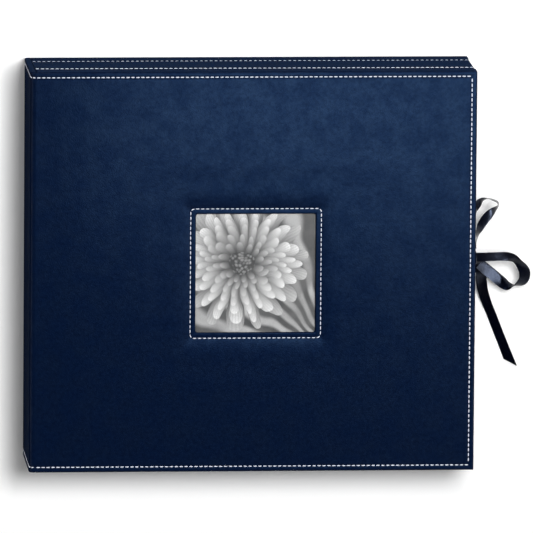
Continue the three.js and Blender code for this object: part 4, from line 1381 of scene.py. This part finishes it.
# Floor, lamps and world.
FLOOR_SIZE = 6.0
FLOOR_DROP = 0.0002
FLOOR_SHADES = (0.92, 0.92, 0.92), (0.94, 0.94, 0.94)
FLOOR_LIFT = 0.10
FADE_START = 0.45
FADE_END = 1.6
SKY_LEVEL = 0.15

# Each lamp's place, aim, width, height and power, and whether it shows in reflections only, or else
# lights matt surfaces only.
LAMPS = {
    "key_lamp": ((0.30, 0.63, 3.0), (0, 0, 0.05), 0.80, 0.80, 90.0, False),
    "panel_lamp": ((0.105, 0.155, 0.30), (0.105, 0.155, 0), 0.46, 0.25, 0.67, True),
    "corner_panel_lamp": ((0.235, 0.155, 0.30), (0.235, 0.155, 0), 0.18, 0.25, 1.0, True),
    "side_lamp": ((1.10, -0.86, 0.14), (0.2, 0, 0.03), 0.70, 0.20, 9.5, True),
    "head_lamp": ((0.1, 1.5, 0.35), (0, 0.17, 0.05), 0.6, 0.6, 7.0, False),
}


def lay_floor():
    """A pale floor, a little brighter to the camera and in reflections, that fades to white far off."""
    s = Shading("pale_floor")
    rays = s.node("LightPath")
    seen = s.math("MAXIMUM", rays.outputs["Is Camera Ray"], rays.outputs["Is Glossy Ray"])
    seen = s.math("MAXIMUM", seen, rays.outputs["Is Transmission Ray"])
    away = s.node("VectorMath", {0: s.place}, operation="LENGTH").outputs["Value"]
    fade = s.math("MULTIPLY", s.remap(away, FADE_START, FADE_END), rays.outputs["Is Camera Ray"])
    glow = s.math("MULTIPLY_ADD", seen, FLOOR_LIFT, fade)
    s.set(Base_Color=s.mix(s.noise(30, 3, 0.5), *FLOOR_SHADES), Roughness=0.9, Specular_IOR_Level=0.0)
    s.set(Emission_Color=(1, 1, 1, 1), Emission_Strength=glow)
    half = FLOOR_SIZE / 2
    mesh = bpy.data.meshes.new("floor")
    corners = [(-half, -half), (half, -half), (half, half), (-half, half)]
    mesh.from_pydata([(x, y, -FLOOR_DROP) for x, y in corners], [], [(0, 1, 2, 3)])
    mesh.materials.append(s.material)
    link_object("floor", mesh)


def hang_lamp(name, place, aim, width, height, power, gloss):
    """A rectangular lamp that the camera doesn't see."""
    lamp = bpy.data.lights.new(name, "AREA")
    lamp.shape = "RECTANGLE"
    lamp.size = width
    lamp.size_y = height
    lamp.energy = power
    holder = link_object(name, lamp)
    holder.location = place
    holder.rotation_mode = "QUATERNION"
    holder.rotation_quaternion = (Vector(aim) - Vector(place)).to_track_quat("-Z", "Y")
    holder.visible_camera = False
    holder.visible_glossy = gloss
    holder.visible_diffuse = not gloss


def light_sky():
    """A white sky to the camera, and a dim one to everything else."""
    world = bpy.data.worlds.new("studio")
    bpy.context.scene.world = world
    world.use_nodes = True
    tree = world.node_tree
    background = tree.nodes["Background"]
    rays = tree.nodes.new("ShaderNodeLightPath")
    level = tree.nodes.new("ShaderNodeMapRange")
    level.inputs["To Min"].default_value = SKY_LEVEL
    level.inputs["To Max"].default_value = 1.0
    tree.links.new(rays.outputs["Is Camera Ray"], level.inputs["Value"])
    background.inputs["Color"].default_value = (1, 1, 1, 1)
    tree.links.new(level.outputs[0], background.inputs["Strength"])


lay_floor()
light_sky()
for name, lamp in LAMPS.items():
    hang_lamp(name, *lamp)
bpy.context.scene.view_settings.view_transform = "Standard"
